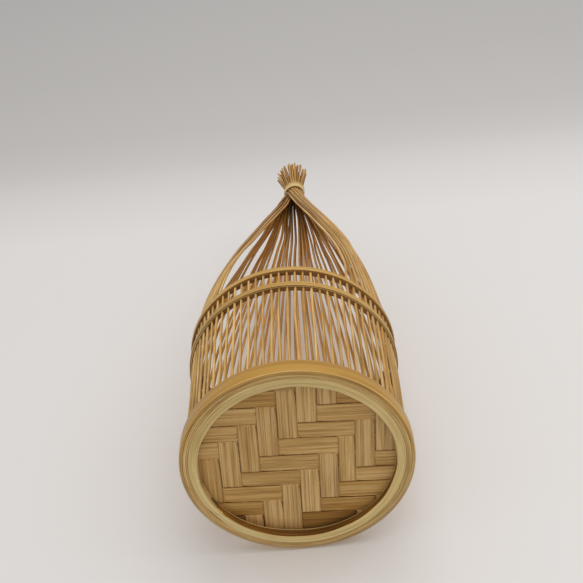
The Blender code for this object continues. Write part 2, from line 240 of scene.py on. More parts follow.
SKIN = bamboo("bamboo_skin", lin(171, 123, 47), lin(190, 143, 60), lin(203, 158, 74), across=0.9, lines=0.55,
              specks=0.14, rough=(0.30, 0.42), coat=0.12, coat_rough=0.18, bump=0.000012, mottle=0.35)
# the band's rounded lower rim: a worn, lighter edge that also holds a painted highlight
WORN_RIM_AND_HIGHLIGHT = bamboo("bamboo_worn_edge_and_highlight", lin(196, 150, 80), lin(216, 174, 104), lin(228, 192, 126), across=1.6, lines=0.5,
              specks=0.2, rough=(0.36, 0.5), bump=0.00002)
RING_SKIN = bamboo("bamboo_ring_skin", lin(182, 136, 61), lin(202, 157, 81), lin(217, 176, 102), across=1.0,
                   lines=0.55, specks=0.2, rough=(0.32, 0.46), coat=0.10, coat_rough=0.2, bump=0.000014)
PALE = bamboo("bamboo_pale", lin(192, 160, 94), lin(216, 186, 122), lin(228, 202, 142), across=1.5, lines=0.6,
              specks=0.22, rough=(0.42, 0.58), bump=0.00003, mottle=0.25, spread=0.10, stripe=0.20, veins=0.20)
LAYER = bamboo("bamboo_layer", lin(166, 127, 68), lin(201, 165, 104), lin(222, 190, 130), across=1.9, lines=0.7,
               specks=0.3, rough=(0.42, 0.6), bump=0.00004, mottle=0.25, spread=0.09, stripe=0.26, veins=0.20)
FOOT = bamboo("bamboo_band_foot", lin(160, 115, 50), lin(184, 140, 67), lin(205, 162, 91), across=1.9, lines=0.7,
              specks=0.3, rough=(0.42, 0.6), bump=0.00004, mottle=0.25, spread=0.09, stripe=0.26, veins=0.25)
BROWN = bamboo("bamboo_inner_wall", lin(76, 44, 9), lin(104, 66, 16), lin(138, 94, 36), across=1.6, lines=0.6,
               specks=0.4, rough=(0.45, 0.62), bump=0.00004, mottle=0.4)
# cut faces of the rings: their own darker colour, darkened further as painted shade under the rings and in the
# holes
UNDER_CUT_AND_SHADE = bamboo("bamboo_cut", lin(106, 71, 30), lin(147, 103, 51), lin(176, 132, 73), across=1.8, lines=0.6,
               specks=0.45, rough=(0.55, 0.7), bump=0.00004, mottle=0.35)
# edge darkening: painted shade in the gaps between strips and on the lengths that pass behind
STRIP = bamboo("bamboo_strip", lin(172, 130, 70), lin(206, 163, 98), lin(226, 189, 128), across=1.5, lines=0.6,
               specks=0.40, rough=(0.44, 0.62), bump=0.00004, edge=0.92, edge_power=34.0, stripe=0.16, mottle=0.18,
               spread=0.10, veins=0.55, knot=(KNOT_W + 900.0 + 31.0 * 7, KNOT_S))
# edge darkening: the browner inner side, partly painted shade, and painted shade down one side and where rods touch
ROD = bamboo("bamboo_rod", lin(178, 130, 62), lin(214, 171, 98), lin(234, 197, 130), across=1.7, lines=0.5,
             specks=0.22, rough=(0.38, 0.54), coat=0.02, coat_rough=0.25, bump=0.00002, mottle=0.45,
             edge=0.74, edge_power=1.0, deepen=(0.55, 0.455, 0.33), shine=0.20)
TUFT = bamboo("bamboo_cut_end", lin(150, 104, 58), lin(184, 140, 88), lin(206, 166, 116), across=3.0, lines=0.6,
              specks=0.5, rough=(0.6, 0.75), bump=0.00004, mottle=0.3)
TIE = bamboo("bamboo_tie", lin(178, 142, 80), lin(206, 170, 104), lin(224, 194, 130), across=1.6, lines=0.6,
             specks=0.25, rough=(0.40, 0.55), bump=0.00003)
TIE_EDGE = bamboo("bamboo_tie_edge", lin(214, 180, 118), lin(230, 199, 138), lin(240, 214, 158), across=1.6,
                  lines=0.6, specks=0.1, rough=(0.40, 0.55), bump=0.00002)


# ---- mesh helpers -----------------------------------------------------------------------

def piece(name, verts, faces, mats, nodes, index=None, merge=False, fib=None, tone=None, grey=None,
          extra=None, angle=40.0):
    """A closed mesh from points in millimetres that stands for CAD nodes and rides on the root body."""
    mesh = bpy.data.meshes.new(name)
    mesh.from_pydata((np.asarray(verts, float) * MM).tolist(), [], faces)
    if index is not None:
        mesh.polygons.foreach_set("material_index", list(index))
    bm = bmesh.new()
    bm.from_mesh(mesh)
    if merge:
        bmesh.ops.remove_doubles(bm, verts=bm.verts, dist=0.000002)
    bmesh.ops.recalc_face_normals(bm, faces=bm.faces)
    bm.to_mesh(mesh)
    bm.free()
    for m in mats:
        mesh.materials.append(m)
    co = np.zeros(len(mesh.vertices) * 3, np.float32)
    mesh.vertices.foreach_get("co", co)
    co = co.reshape(-1, 3) / MM
    if callable(fib):
        fib = fib(co)
    a = mesh.attributes.new("fib", 'FLOAT_VECTOR', 'POINT')
    a.data.foreach_set("vector", np.asarray(fib, np.float32).ravel())
    fields = {"tone": tone, "grey": grey}
    fields.update(extra or {})
    for key, value in fields.items():
        value = 0.0 if value is None else value
        if callable(value):
            value = value(co)
        value = np.broadcast_to(np.asarray(value, np.float32), (len(co),))
        a = mesh.attributes.new(key, 'FLOAT', 'POINT')
        a.data.foreach_set("value", np.ascontiguousarray(value))
    mesh.shade_smooth()
    mesh.set_sharp_from_angle(angle=math.radians(angle))
    ob = bpy.data.objects.new(name, mesh)
    bpy.context.scene.collection.objects.link(ob)
    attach(ob, "root")
    if nodes:
        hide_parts(*nodes)
    return ob


def around(co, shift=0.0):
    """Fibre coordinates for a hoop around Z: fibres run round it, with no seam."""
    th = np.arctan2(co[:, 1], co[:, 0])
    r = np.hypot(co[:, 0], co[:, 1])
    return np.stack([co[:, 2] - r * 1.13 + shift, 57.0 * np.cos(th) * RATIO, 57.0 * np.sin(th)], 1)


def swept_hoop(rings, closed=True):
    """Points and faces from a list of rings, each an (n, 3) array of profile points."""
    n = len(rings[0])
    verts = np.concatenate(rings)
    faces = []
    m = len(rings)
    for i in range(m if closed else m - 1):
        j = (i + 1) % m
        for k in range(n):
            q = (k + 1) % n
            faces.append((i * n + k, j * n + k, j * n + q, i * n + q))
    if not closed:
        faces.append(tuple(range(n)))
        faces.append(tuple((m - 1) * n + k for k in reversed(range(n))))
    return verts, faces


def turned(profile, th):
    p = np.asarray(profile, float)
    return np.stack([p[:, 0] * math.cos(th), p[:, 0] * math.sin(th), p[:, 1]], 1)


def wave(th, seed, count=5, low=1):
    """Smooth random function of an angle, about -1 to 1, that closes on itself."""
    r = np.random.default_rng(seed)
    th = np.asarray(th, float)
    out = 0.0
    for i in range(count):
        out = out + r.normal() * np.cos((low + i) * th + r.uniform(0, 6.28)) / (1 + 0.5 * i)
    return out / 1.6


# ---- base hoops ---------------------------------------------------------------------------

def out_of_round(verts):
    """The hoops of the base aren't perfect circles: the outer ones sit a little to one side, the pale one
    is slightly oval."""
    v = np.asarray(verts, float).copy()
    th, r = np.arctan2(v[:, 1], v[:, 0]), np.hypot(v[:, 0], v[:, 1])
    outer = -0.18 - 0.52 * np.cos(th - math.radians(65.0))
    inner = -0.09 - 0.36 * np.cos(th) + 0.24 * np.sin(th) - 0.33 * np.sin(2.0 * th)
    w = np.clip((r - 51.0) / 8.0, 0.0, 1.0)
    f = (r + w * outer + (1.0 - w) * inner) / r
    v[:, 0] *= f
    v[:, 1] *= f
    return v


def build_base():
    segs = 288
    angles = [2 * math.pi * i / segs for i in range(segs)]

    rings = []
    for th in angles:
        w = 0.05 * float(wave(th, 3))
        rings.append(turned(((58.50, 0.6), (58.56, 0.16), (58.80, 0.04), (59.38, 0.0), (59.90, 0.05),
                             (60.16, 0.21), (60.34, 0.60), (60.40 + w * 0.4, 1.8), (60.42 + w, 4.6),
                             (60.38 + w * 0.5, 8.3), (60.26, 9.0), (59.95, 9.4), (59.4, 9.5),
                             (58.8, 9.44), (58.55, 9.1), (58.45, 5.0)), th))
    v, f = swept_hoop(rings)

    def band_tone_and_painted_light(co):
        """Painted light: a little brighter at both sides, more so on the right; the worn lower rim, with its
        painted highlight, is darker at the back.
        """
        th = np.arctan2(co[:, 1], co[:, 0])
        rim = (co[:, 2] < 1.0) & (np.hypot(co[:, 0], co[:, 1]) > 59.2)
        back = np.clip((np.sin(th) + 0.35) / 0.5, 0.0, 1.0)
        return -0.22 * rim * back + 0.04 * wave(th, 8, 4) + 0.30 * np.clip(np.cos(th), 0.0, 1.0) ** 4 + 0.10 * np.clip(-np.cos(th), 0.0, 1.0) ** 4

    def band_grey(co):
        return 1.3 * (co[:, 2] < 1.0) * np.clip((np.sin(np.arctan2(co[:, 1], co[:, 0])) + 0.35) / 0.5, 0.0, 1.0)

    index = []
    for i in range(segs):
        for k in range(16):
            index.append(1 if k in (0, 1, 2, 3, 13, 14, 15) else 2 if k in (4, 5) else 0)
    piece("outer_band", out_of_round(v), f, (SKIN, FOOT, WORN_RIM_AND_HIGHLIGHT), ("base_outer_band",), index=index,
          fib=around, tone=band_tone_and_painted_light, grey=band_grey, extra={"stripe": 1.0})

    def thin_tone(r):
        """One light line between two dark ones."""
        return (0.05 + 0.32 * np.exp(-((r - 57.65) / 0.28) ** 2) - 0.10 * np.exp(-((r - 56.85) / 0.22) ** 2)
                - 0.10 * np.exp(-((r - 58.42) / 0.20) ** 2))

    # thin hoops: neighbouring layers of one wound strip, each a little out of line
    thin = (("thin_hoop_outer", "base_thin_hoop_outer", 57.70, 58.38, 0.16, 21, -0.02),
            ("thin_hoop_middle", "base_thin_hoop_middle", 56.86, 57.60, 0.26, 22, 0.0),
            ("thin_hoop_inner", "base_thin_hoop_inner", 55.92, 56.76, 0.16, 23, 0.02))
    for name, node, r0, r1, z, seed, tone in thin:
        rings = []
        for th in angles:
            d = 0.04 * float(wave(th, seed))
            e = 0.04 * float(wave(th, seed + 40))
            h = z + 0.07 * float(wave(th, seed + 80))
            a, b = r0 + d, r1 + e
            rings.append(turned(((a, h + 0.10), (a + 0.08, h), (b - 0.08, h), (b, h + 0.10),
                                 (b, 2.7), (b - 0.06, 2.8), (a + 0.06, 2.8), (a, 2.7)), th))
        v, f = swept_hoop(rings)
        # painted light: the thin hoops are a little lighter towards the left
        piece(name, out_of_round(v), f, (LAYER,), (node,), fib=lambda co, s=seed: around(co, s * 3.7),
              tone=lambda co, t=tone, s=seed: (t + thin_tone(np.hypot(co[:, 0], co[:, 1]))
                                               + 0.05 * wave(np.arctan2(co[:, 1], co[:, 0]), s + 5, 6)
                                               + 0.10 * np.clip(-co[:, 0] / 57.0, 0.0, 1.0) ** 2),
              extra={"stripe": 0.6})

    # wide pale hoop with its scarf joint, a lip where the woven panel sits, and a brown inner wall
    joint, lap = 147.0, 9.0
    rings = []
    steps = 360
    gap = 0.04
    for i in range(steps + 1):
        f0 = i / steps
        fade = max(0.0, 1.0 - min(f0, 1.0 - f0) * 14.0)
        base = joint + gap + f0 * (360.0 - 2 * gap)
        th0 = math.radians(base)
        deg = base % 360.0
        lift = math.exp(-((deg - 142.5) / 6.0) ** 2)            # the outer edge stands off at the joint
        loose = math.exp(-((deg - 226.0) / 11.0) ** 2)          # and a little at the upper left
        rin = 50.95 + 0.05 * float(wave(th0, 31))
        rout = 55.80 + 0.02 * float(wave(th0, 32)) - 0.62 * lift - 0.26 * loose
        z = 0.04 * float(wave(th0, 33)) + 0.06 + (0.10 if f0 < 0.5 else 0.0) * fade
        ragged = 0.10 * float(wave(th0, 34, 5, 14))
        # the wall leans in at the bottom of the picture, and out a little beside that
        lean = 1.1 * math.exp(-((deg - 98.0) / 15.0) ** 2) - 0.45 * math.exp(-((deg - 38.0) / 26.0) ** 2)
        prof = ((rin + ragged, z + 0.50), (rin + 0.16 + ragged, z + 0.16), (rin + 0.5, z), (rin + 1.6, z - 0.03),
                (rin + 3.0, z - 0.03), (rout - 0.45, z), (rout - 0.12, z + 0.12), (rout, z + 0.4), (rout, 4.9),
                (rin - 0.16 - lean, 4.9), (rin - 0.20 - lean, 4.74), (rin - 0.16 - lean, 4.62),
                (rin - lean * 0.9, 4.56), (rin - 0.5 * lean, 2.8), (rin - 0.1 * lean, 1.2))
        ring = []
        for r, zz in prof:
            slant = lap * ((r - 50.9) / 4.65 - 0.5) * fade
            th = math.radians(base + slant)
            ring.append((r * math.cos(th), r * math.sin(th), zz))
        rings.append(np.array(ring))
    v, f = swept_hoop(rings, closed=False)
    index = []
    for i in range(steps):
        turn = (joint + (i + 0.5) / steps * 360.0) % 360.0
        for k in range(15):
            first = {12: 159.0, 13: 153.5, 14: 149.0}.get(k)        # the pale wall starts on a slant
            index.append(1 if first and not first < turn < 235.0 else 0)
    index += [1, 1]

    def hoop_tone(co):
        th, r = np.arctan2(co[:, 1], co[:, 0]), np.hypot(co[:, 0], co[:, 1])
        wall = (co[:, 2] > 1.0) & (r < 52.4)
        deg = np.degrees(th) % 360.0
        # left of the joint the wall is pale, with one brown spot and a darker lip; elsewhere it is lighter towards
        # the right, its lip is darker but holds a painted highlight near 122 degrees, and its foot is lighter, most
        # of all at the lower right
        pale = (deg > 150.0) & (deg < 235.0)
        left = -0.10 - 0.40 * np.exp(-((deg - 171.0) / 4.0) ** 2) - 0.20 * (co[:, 2] > 4.6)
        left = left - 0.38 * np.clip((160.0 - deg) / 10.0, 0.0, 1.0)
        right = np.clip((50.0 - np.abs((deg + 180.0) % 360.0 - 180.0)) / 35.0, 0.0, 1.0)
        foot = 0.45 + 0.75 * np.exp(-((deg - 44.0) / 20.0) ** 2)
        right = 0.5 * right + foot * (co[:, 2] < 1.5) + 0.6 * np.exp(-((deg - 144.0) / 7.0) ** 2)
        right = right + 0.30 * np.exp(-((deg - 122.0) / 14.0) ** 2)
        right = np.where(co[:, 2] > 4.6, -0.40 + 0.55 * np.exp(-((deg - 122.0) / 14.0) ** 2), right)
        wall_tone = np.where(pale, left, right)
        # painted light: a little lighter at the left and right sides
        sides = 0.07 * np.clip(-np.cos(th), 0.0, 1.0) ** 2 + 0.03 * np.clip(np.cos(th), 0.0, 1.0) ** 2
        return 0.04 * wave(th, 36, 6) + sides + wall * wall_tone

    piece("inner_hoop", out_of_round(v), f, (PALE, BROWN), ("base_inner_hoop",), index=index,
          fib=around, tone=hoop_tone, extra={"stripe": 1.0, "red": lambda co: 1.0 * (co[:, 2] > 4.6)}, angle=50)

    rings = []
    for th in angles:
        d = 0.08 * float(wave(th, 51))
        rings.append(turned(((51.8 + d, 7.0), (55.4, 7.0), (55.5, 7.15), (55.5, 8.8), (55.3, 9.0),
                             (52.1 + d, 9.0), (51.75 + d, 8.8), (51.65 + d, 8.0)), th))
    v, f = swept_hoop(rings)
    piece("keeper_hoop", v, f, (LAYER,), ("panel_keeper_hoop",),
          fib=lambda co: around(co, 40.0), tone=0.02)


# ---- woven panel ----------------------------------------------------------------------------

# tone, grey and redness of the strips that run across, top row first: the darker, redder last rows are partly their
# own colour and partly painted shade near the wall
ACROSS_TONE = (-0.16, -0.14, -0.06, -0.01, 0.02, -0.03, 0.0, -0.05, -0.20, -0.42)
ACROSS_GREY = (-0.5, -0.6, -0.3, -0.2, -0.1, -0.1, -0.2, -0.4, -0.6, -0.8)
ACROSS_RED = (0.3, 0.3, 0.1, 0.0, 0.0, 0.0, 0.1, 0.2, 0.4, 0.8)
ACROSS_STRIPE = (0.3, 0.5, 0.6, 0.7, 0.5, 0.5, 0.6, 0.5, 0.6, 0.5)
ALONG_TONE = (-0.02, 0.0, 0.0, 0.01, -0.04, 0.0, 0.02, 0.0, 0.0, -0.02)
ALONG_GREY = (-0.2, 0.0, 0.05, 0.1, 0.0, 0.05, 0.22, -0.1, 0.15, 0.1)
ALONG_STRIPE = (0.4, 0.5, 0.9, 0.6, 0.8, 1.4, 0.4, 0.5, 0.3, 0.9)


def across_below(col, row):
    return (col + row - 2) % 6 in (0, 1, 2)


def weave_strip(across, i):
    edges, cross = (ROW, COL) if across else (COL, ROW)
    rng = np.random.default_rng((100 if across else 200) + i)
    w0, w1 = edges[i], edges[i + 1]
    mid, half = (w0 + w1) / 2, (w1 - w0) / 2
    below = [across_below(j, i) if across else not across_below(i, j) for j in range(len(cross) - 1)]
    lift, thick, soft = 0.40, 0.46, 1.0
    ns, nw = 168, 11
    t = np.linspace(-1, 1, ns)
    q = np.array([-1.0, -0.95, -0.84, -0.62, -0.32, 0.0, 0.32, 0.62, 0.84, 0.95, 1.0])
    phase = rng.uniform(0, 6.28, 4)

    def level(s):
        z = np.full_like(s, -1.0 if below[0] else 1.0)
        for j in range(1, len(below)):
            if below[j] != below[j - 1]:
                x = np.clip((s - cross[j]) / soft * 0.5 + 0.5, 0, 1)
                z = z + (x * x * (3 - 2 * x)) * (-2.0 if below[j] else 2.0)
        return z

    def room(s, side):
        """How far the edge stays from the grid line: more where a visible length begins, less at the back."""
        out = 0.08 - 0.06 * np.clip(level(s), -1.0, 1.0)
        for j in range(1, len(below)):
            if below[j] and not below[j - 1]:
                depth = 0.66 if side > 0 else 0.14
                d = s - cross[j]
                out = out + np.where(d >= 0, depth * np.clip(d / 0.9, 0, 1) * np.exp(-np.maximum(d - 0.9, 0) / 3.2), 0.0)
        # next to nothing at the corners, where one would see through
        for j in range(1, len(below)):
            out = out * (1.0 - 0.95 * np.exp(-((s - cross[j]) / 0.5) ** 2))
        return out

    grid = np.zeros((ns, 2 * nw, 3))
    fib = np.zeros((ns, 2 * nw, 3))
    edge = np.zeros((ns, 2 * nw))
    for a in range(2 * nw):
        top = a >= nw
        qq = q[a] if not top else q[2 * nw - 1 - a]
        wb = np.clip(mid + qq * half, -PANEL_R + 0.4, PANEL_R - 0.4)
        smax = math.sqrt(PANEL_R ** 2 - wb ** 2)
        s = t * smax
        wander = 0.10 * np.sin(s / 17.0 + phase[0]) + 0.06 * np.sin(s / 7.0 + phase[1])
        w = wb + wander
        w = w - room(s, 1 if qq > 0 else -1) * qq
        body = thick / 2 * (1.0 - 0.5 * abs(qq) ** 12)
        crown = 0.05 * (1 - qq * qq)
        z = PANEL_Z + lift * level(s) + 0.03 * np.sin(s / 9.0 + phase[2])
        z = z + (body if top else -body) - (crown if not top else -crown * 0.5)
        u, v = (s, w) if across else (w, s)
        grid[:, a, 0] = u * math.cos(WEAVE_TURN) - v * math.sin(WEAVE_TURN)
        grid[:, a, 1] = u * math.sin(WEAVE_TURN) + v * math.cos(WEAVE_TURN)
        grid[:, a, 2] = z
        fib[:, a, 0] = w + (31.0 * i if across else 900.0 + 31.0 * i)
        fib[:, a, 1] = z * 0.5 + (3.0 if top else 0.0)
        fib[:, a, 2] = s
        # painted shade: the lengths that pass behind, and the strip's edges, are darkened towards the deep colour
        hidden = np.clip(0.15 + 1.3 * level(s), 0.0, 1.0) if not top else np.zeros(ns)
        edge[:, a] = np.maximum(abs(qq), 0.98 * hidden ** 0.3)
    verts = grid.reshape(-1, 3)
    # painted shade: darker towards the wall, most of all at the lower right and at its foot
    th, r = np.arctan2(verts[:, 1], verts[:, 0]), np.hypot(verts[:, 0], verts[:, 1])
    turn = np.degrees(th)
    low = np.clip((turn - 18.0) / 22.0, 0.0, 1.0) * np.clip((150.0 - turn) / 30.0, 0.0, 1.0)
    near = np.clip((r - 47.2) / 2.8, 0.0, 1.0) ** 1.5
    wide = np.clip((r - 42.0) / 7.0, 0.0, 1.0)
    below_it = (turn > -40.0) & (turn < 200.0) | (turn < -160.0)
    foot = np.clip((turn - 48.0) / 8.0, 0.0, 1.0) * np.clip((98.0 - turn) / 8.0, 0.0, 1.0) * 1.6
    foot = foot + 2.0 * np.clip((turn - 92.0) / 8.0, 0.0, 1.0) * np.clip((142.0 - turn) / 12.0, 0.0, 1.0)
    shade = -(0.07 + 0.10 * low) * near * (0.35 + 0.65 * below_it) - 0.07 * low * wide - 0.085 * foot * wide
    n = 2 * nw
    faces = []
    for r in range(ns - 1):
        for a in range(n):
            b = (a + 1) % n
            faces.append((r * n + a, r * n + b, (r + 1) * n + b, (r + 1) * n + a))
    faces.append(tuple(range(n)))
    faces.append(tuple((ns - 1) * n + a for a in reversed(range(n))))
    name = "strip_%s_%02d" % ("across" if across else "along", i + 1)
    node = "weave_strip_%s_%02d" % ("across" if across else "along", i + 1)
    tone = (ACROSS_TONE if across else ALONG_TONE)[i]
    grey = (ACROSS_GREY if across else ALONG_GREY)[i]
    stripe = (ACROSS_STRIPE if across else ALONG_STRIPE)[i]
    # redder in the painted shade at the wall's foot
    red = (ACROSS_RED[i] if across else 0.1) + 0.35 * foot * wide
    piece(name, verts, faces, (STRIP,), (node,), fib=fib.reshape(-1, 3), tone=tone + shade, grey=grey,
          extra={"edge": edge.ravel(), "stripe": stripe, "red": red}, angle=55)


# ---- drilled rings -----------------------------------------------------------------------------

def drilled_ring(name, node, bottom_r, top_r, rows, inner_rows, z0, z1, seed):
    """A hoop with one round hole for each rod.

    rows go from the outer rim of the bottom face, up the outer side, to that of the top face:
    (radius, height, material). inner_rows do the same on the inner side."""
    hole = 0.97
    bin_r, tin_r = inner_rows[0][0], inner_rows[-1][0]
    verts, faces, index = [], [], []

    def add(p):
        verts.append(p)
        return len(verts) - 1

    half = math.pi / ROD_N
    for k in range(ROD_N):
        a = rod_angle(k)
        er = np.array((math.sin(a), -math.cos(a)))
        et = np.array((math.cos(a), math.sin(a)))

        def polar(r, d, z):
            b = a + d
            return (r * math.sin(b), -r * math.cos(b), z)

        loops = []
        for ro, ri, z in ((bottom_r, bin_r, z0), (top_r, tin_r, z1)):
            edge = [polar(ro, -half + half * j / 2, z) for j in range(5)]
            edge += [polar(ro + (ri - ro) * j / 4, half, z) for j in (1, 2, 3)]
            edge += [polar(ri, half - half * j / 2, z) for j in range(5)]
            edge += [polar(ri + (ro - ri) * j / 4, -half, z) for j in (1, 2, 3)]
            ring = []
            for j in range(16):
                w = math.radians(135.0 - 22.5 * j)
                p = er * (ROD_CIRCLE + hole * math.sin(w)) + et * (hole * math.cos(w))
                ring.append((p[0], p[1], z))
            loops.append(([add(p) for p in edge], [add(p) for p in ring]))
        for edge, ring in loops:
            for j in range(16):
                m = (j + 1) % 16
                faces.append((edge[j], edge[m], ring[m], ring[j]))
                index.append(1)
        for j in range(16):
            m = (j + 1) % 16
            faces.append((loops[0][1][j], loops[0][1][m], loops[1][1][m], loops[1][1][j]))
            index.append(1)
        for table, first, last in ((rows, loops[0][0][:5], loops[1][0][:5]),
                                   (inner_rows, loops[0][0][8:13][::-1], loops[1][0][8:13][::-1])):
            grid = [first]
            for r, z, _m in table[1:-1]:
                grid.append([add(polar(r, -half + half * j / 2, z)) for j in range(5)])
            grid.append(last)
            for i in range(len(grid) - 1):
                for j in range(4):
                    faces.append((grid[i][j], grid[i][j + 1], grid[i + 1][j + 1], grid[i + 1][j]))
                    index.append(table[i + 1][2])
    piece(name, verts, faces, (RING_SKIN, UNDER_CUT_AND_SHADE, PALE), (node,), index=index, merge=True,
          fib=lambda co: around(co, seed * 5.3),
          tone=lambda co: 0.05 * wave(np.arctan2(co[:, 1], co[:, 0]), seed, 5), angle=35)


def build_rings():
    z0, z1 = MID_Z0, MID_Z1
    drilled_ring("mid_hoop", "mid_ring", 58.02, 58.72,
                 ((58.02, z0, 1), (58.05, z0 - 0.26, 2), (58.52, z0 - 0.28, 2), (58.56, z0 + 0.42, 1),
                  (58.80, z0 + 0.42, 1), (58.83, z0 - 0.02, 0), (58.95, z0 + 0.04, 0), (59.04, z0 + 0.26, 0),
                  (59.08, z0 + 1.2, 0), (59.09, z0 + 2.6, 0), (59.02, z1 - 0.26, 0), (58.90, z1 - 0.05, 0),
                  (58.72, z1, 0)),
                 ((55.3, z0, 1), (55.12, z0 + 0.2, 1), (55.1, z0 + 1.9, 1), (55.12, z1 - 0.2, 1), (55.3, z1, 1)),
                 z0, z1, 61)
    z0, z1 = UP_Z0, UP_Z1
    drilled_ring("upper_hoop", "upper_ring", 58.66, 58.66,
                 ((58.66, z0, 1), (58.88, z0 + 0.05, 0), (59.02, z0 + 0.28, 0), (59.08, z0 + 1.1, 0),
                  (59.08, z0 + 2.2, 0), (59.02, z1 - 0.28, 0), (58.88, z1 - 0.05, 0), (58.66, z1, 0)),
                 ((55.3, z0, 1), (55.12, z0 + 0.2, 1), (55.1, z0 + 1.6, 1), (55.12, z1 - 0.2, 1), (55.3, z1, 1)),
                 z0, z1, 62)


# ---- rods ---------------------------------------------------------------------------------------------

def tube(points, radii, ident, sides=12, spin=0.0):
    """A round rod along a line, with its ends eased: points, faces, material numbers, fibre coordinates
    and how brown and shaded each point is (the inner side is browner, partly as painted shade, and a
    painted shade streak runs down one side)."""
    p = np.asarray(points, float)
    r = np.asarray(radii, float)
    # ease both ends
    d0 = (p[0] - p[1]) / np.linalg.norm(p[0] - p[1])
    d1 = (p[-1] - p[-2]) / np.linalg.norm(p[-1] - p[-2])
    p = np.concatenate([[p[0] + d0 * r[0] * 0.16], [p[0]], p[1:-1], [p[-1]], [p[-1] + d1 * r[-1] * 0.16]])
    r = np.concatenate([[r[0] * 0.80], [r[0]], r[1:-1], [r[-1]], [r[-1] * 0.80]])
    n = len(p)
    tan = np.zeros_like(p)
    tan[1:-1] = p[2:] - p[:-2]
    tan[0], tan[-1] = p[1] - p[0], p[-1] - p[-2]
    tan /= np.linalg.norm(tan, axis=1)[:, None]
    side = np.array((p[0, 0], p[0, 1], 0.0))
    side /= np.linalg.norm(side)
    along = np.concatenate([[0.0], np.cumsum(np.linalg.norm(np.diff(p, axis=0), axis=1))])
    w = 2 * math.pi * np.arange(sides) / sides + spin
    cw, sw = np.cos(w), np.sin(w)
    # the side that carries the painted shade streak
    turn = -0.10 + 0.50 * math.sin(ident * 2.39)
    stripe = np.array((math.cos(turn), math.sin(turn), 0.0))
    verts = np.zeros((n, sides, 3))
    fib = np.zeros((n, sides, 3))
    brown_and_shade = np.zeros((n, sides))
    for i in range(n):
        side = side - tan[i] * side.dot(tan[i])
        side /= np.linalg.norm(side)
        other = np.cross(tan[i], side)
        out = np.outer(cw, side) + np.outer(sw, other)
        verts[i] = p[i] + out * r[i]
        fib[i, :, 0] = cw * 0.9 + ident * 11.3
        fib[i, :, 1] = sw * 0.9 + ident * 5.7
        fib[i, :, 2] = along[i] + ident * 37.0
        # the inner side is browner, partly its own colour and partly painted shade inside the basket; the streak is
        # painted shade down one side
        inner = np.clip(-cw, 0.0, 1.0)
        painted_shade_streak = np.clip(out @ stripe, 0.0, 1.0) ** 1.6
        brown_and_shade[i] = np.clip(0.24 * inner + 0.92 * painted_shade_streak, 0.0, 1.0)
    faces, index = [], []
    for i in range(n - 1):
        for s in range(sides):
            m = (s + 1) % sides
            faces.append((i * sides + s, i * sides + m, (i + 1) * sides + m, (i + 1) * sides + s))
            index.append(1 if i == n - 2 else 0)
    faces.append(tuple(reversed(range(sides))))
    faces.append(tuple((n - 1) * sides + s for s in range(sides)))
    index += [1, 1]
    return verts.reshape(-1, 3), faces, index, fib.reshape(-1, 3), brown_and_shade.ravel()


def lower_line(k, top):
    """The straight length of a rod from the base up through the rings, a little uneven between them."""
    rng = np.random.default_rng(3000 + k)
    a = rod_angle(k)
    er = np.array((math.sin(a), -math.cos(a)))
    et = np.array((math.cos(a), math.sin(a)))
    br, bt = rng.normal(0, 0.22), rng.normal(0, 0.34)
    br2, bt2 = rng.normal(0, 0.10), rng.normal(0, 0.16)
    pts = []
    for z in (3.2, 9.0, 18.0, 30.0, 43.0, 56.0, 68.0, 77.6, 81.4, 87.2, 93.1, top):
        s = math.sin(math.pi * min(max((z - 9.0) / 68.6, 0.0), 1.0))
        s2 = math.sin(2 * math.pi * min(max((z - 9.0) / 68.6, 0.0), 1.0))
        q = er * (ROD_CIRCLE + br * s + br2 * s2) + et * (bt * s + bt2 * s2)
        pts.append((q[0], q[1], z))
    rad = np.interp([p[2] for p in pts], (3.0, 60.0, 78.0, 97.0), (0.78, 0.74, 0.70, 0.69))
    return pts, list(rad * (1.0 + rng.normal(0, 0.02)))


def rod_look(k):
    """(tone, grey, red) of a rod: most are golden, a few are paler or browner."""
    rng = np.random.default_rng(7000 + k)
    return (float(np.clip(rng.normal(0.075, 0.07), -0.09, 0.20)), float(np.clip(rng.normal(0.12, 0.35), -0.3, 1.0)),
            float(np.clip(rng.normal(0.05, 0.14), 0.0, 0.35)))


def touching(verts, line, others):
    """How near to another rod each point of a rod's side is, 0 to 1, from the centre lines."""
    out = np.zeros(len(verts))
    z = verts[:, 2]
    own = np.stack([np.interp(z, line[:, 2], line[:, 0]), np.interp(z, line[:, 2], line[:, 1])], 1)
    side = verts[:, :2] - own
    side /= np.linalg.norm(side, axis=1)[:, None] + 1e-6
    for o in others:
        d = np.stack([np.interp(z, o[:, 2], o[:, 0]), np.interp(z, o[:, 2], o[:, 1])], 1) - own
        dist = np.linalg.norm(d, axis=1) + 1e-6
        close = np.clip((2.9 - dist) / 1.2, 0.0, 1.0)
        out = np.maximum(out, close * np.clip((side * d).sum(1) / dist, 0.0, 1.0) ** 1.6)
    return out * np.clip((z - 99.0) / 20.0, 0.0, 1.0)


# places of the rods inside the tie: (how many, radius, angle of the first)
TIE_RINGS = ((26, 5.34, -93.0), (19, 4.06, -90.0), (13, 2.80, -100.0), (6, 1.55, -90.0), (1, 0.2, 0.0))
TIE_ROD = 0.63

# where the two front bunches enter the tie: rod -> (ring of places, place on it)
TIE_PLACE = {8: (0, 21), 9: (0, 22), 10: (0, 23), 11: (0, 24), 12: (0, 25), 13: (0, 0), 14: (0, 1), 15: (0, 2),
             16: (0, 3), 17: (0, 4), 18: (0, 5), -10: (2, 11), -11: (1, 16), -12: (1, 15), -13: (1, 14),
             -14: (0, 20), -15: (0, 19), -16: (0, 18), -17: (1, 13), -18: (0, 17)}

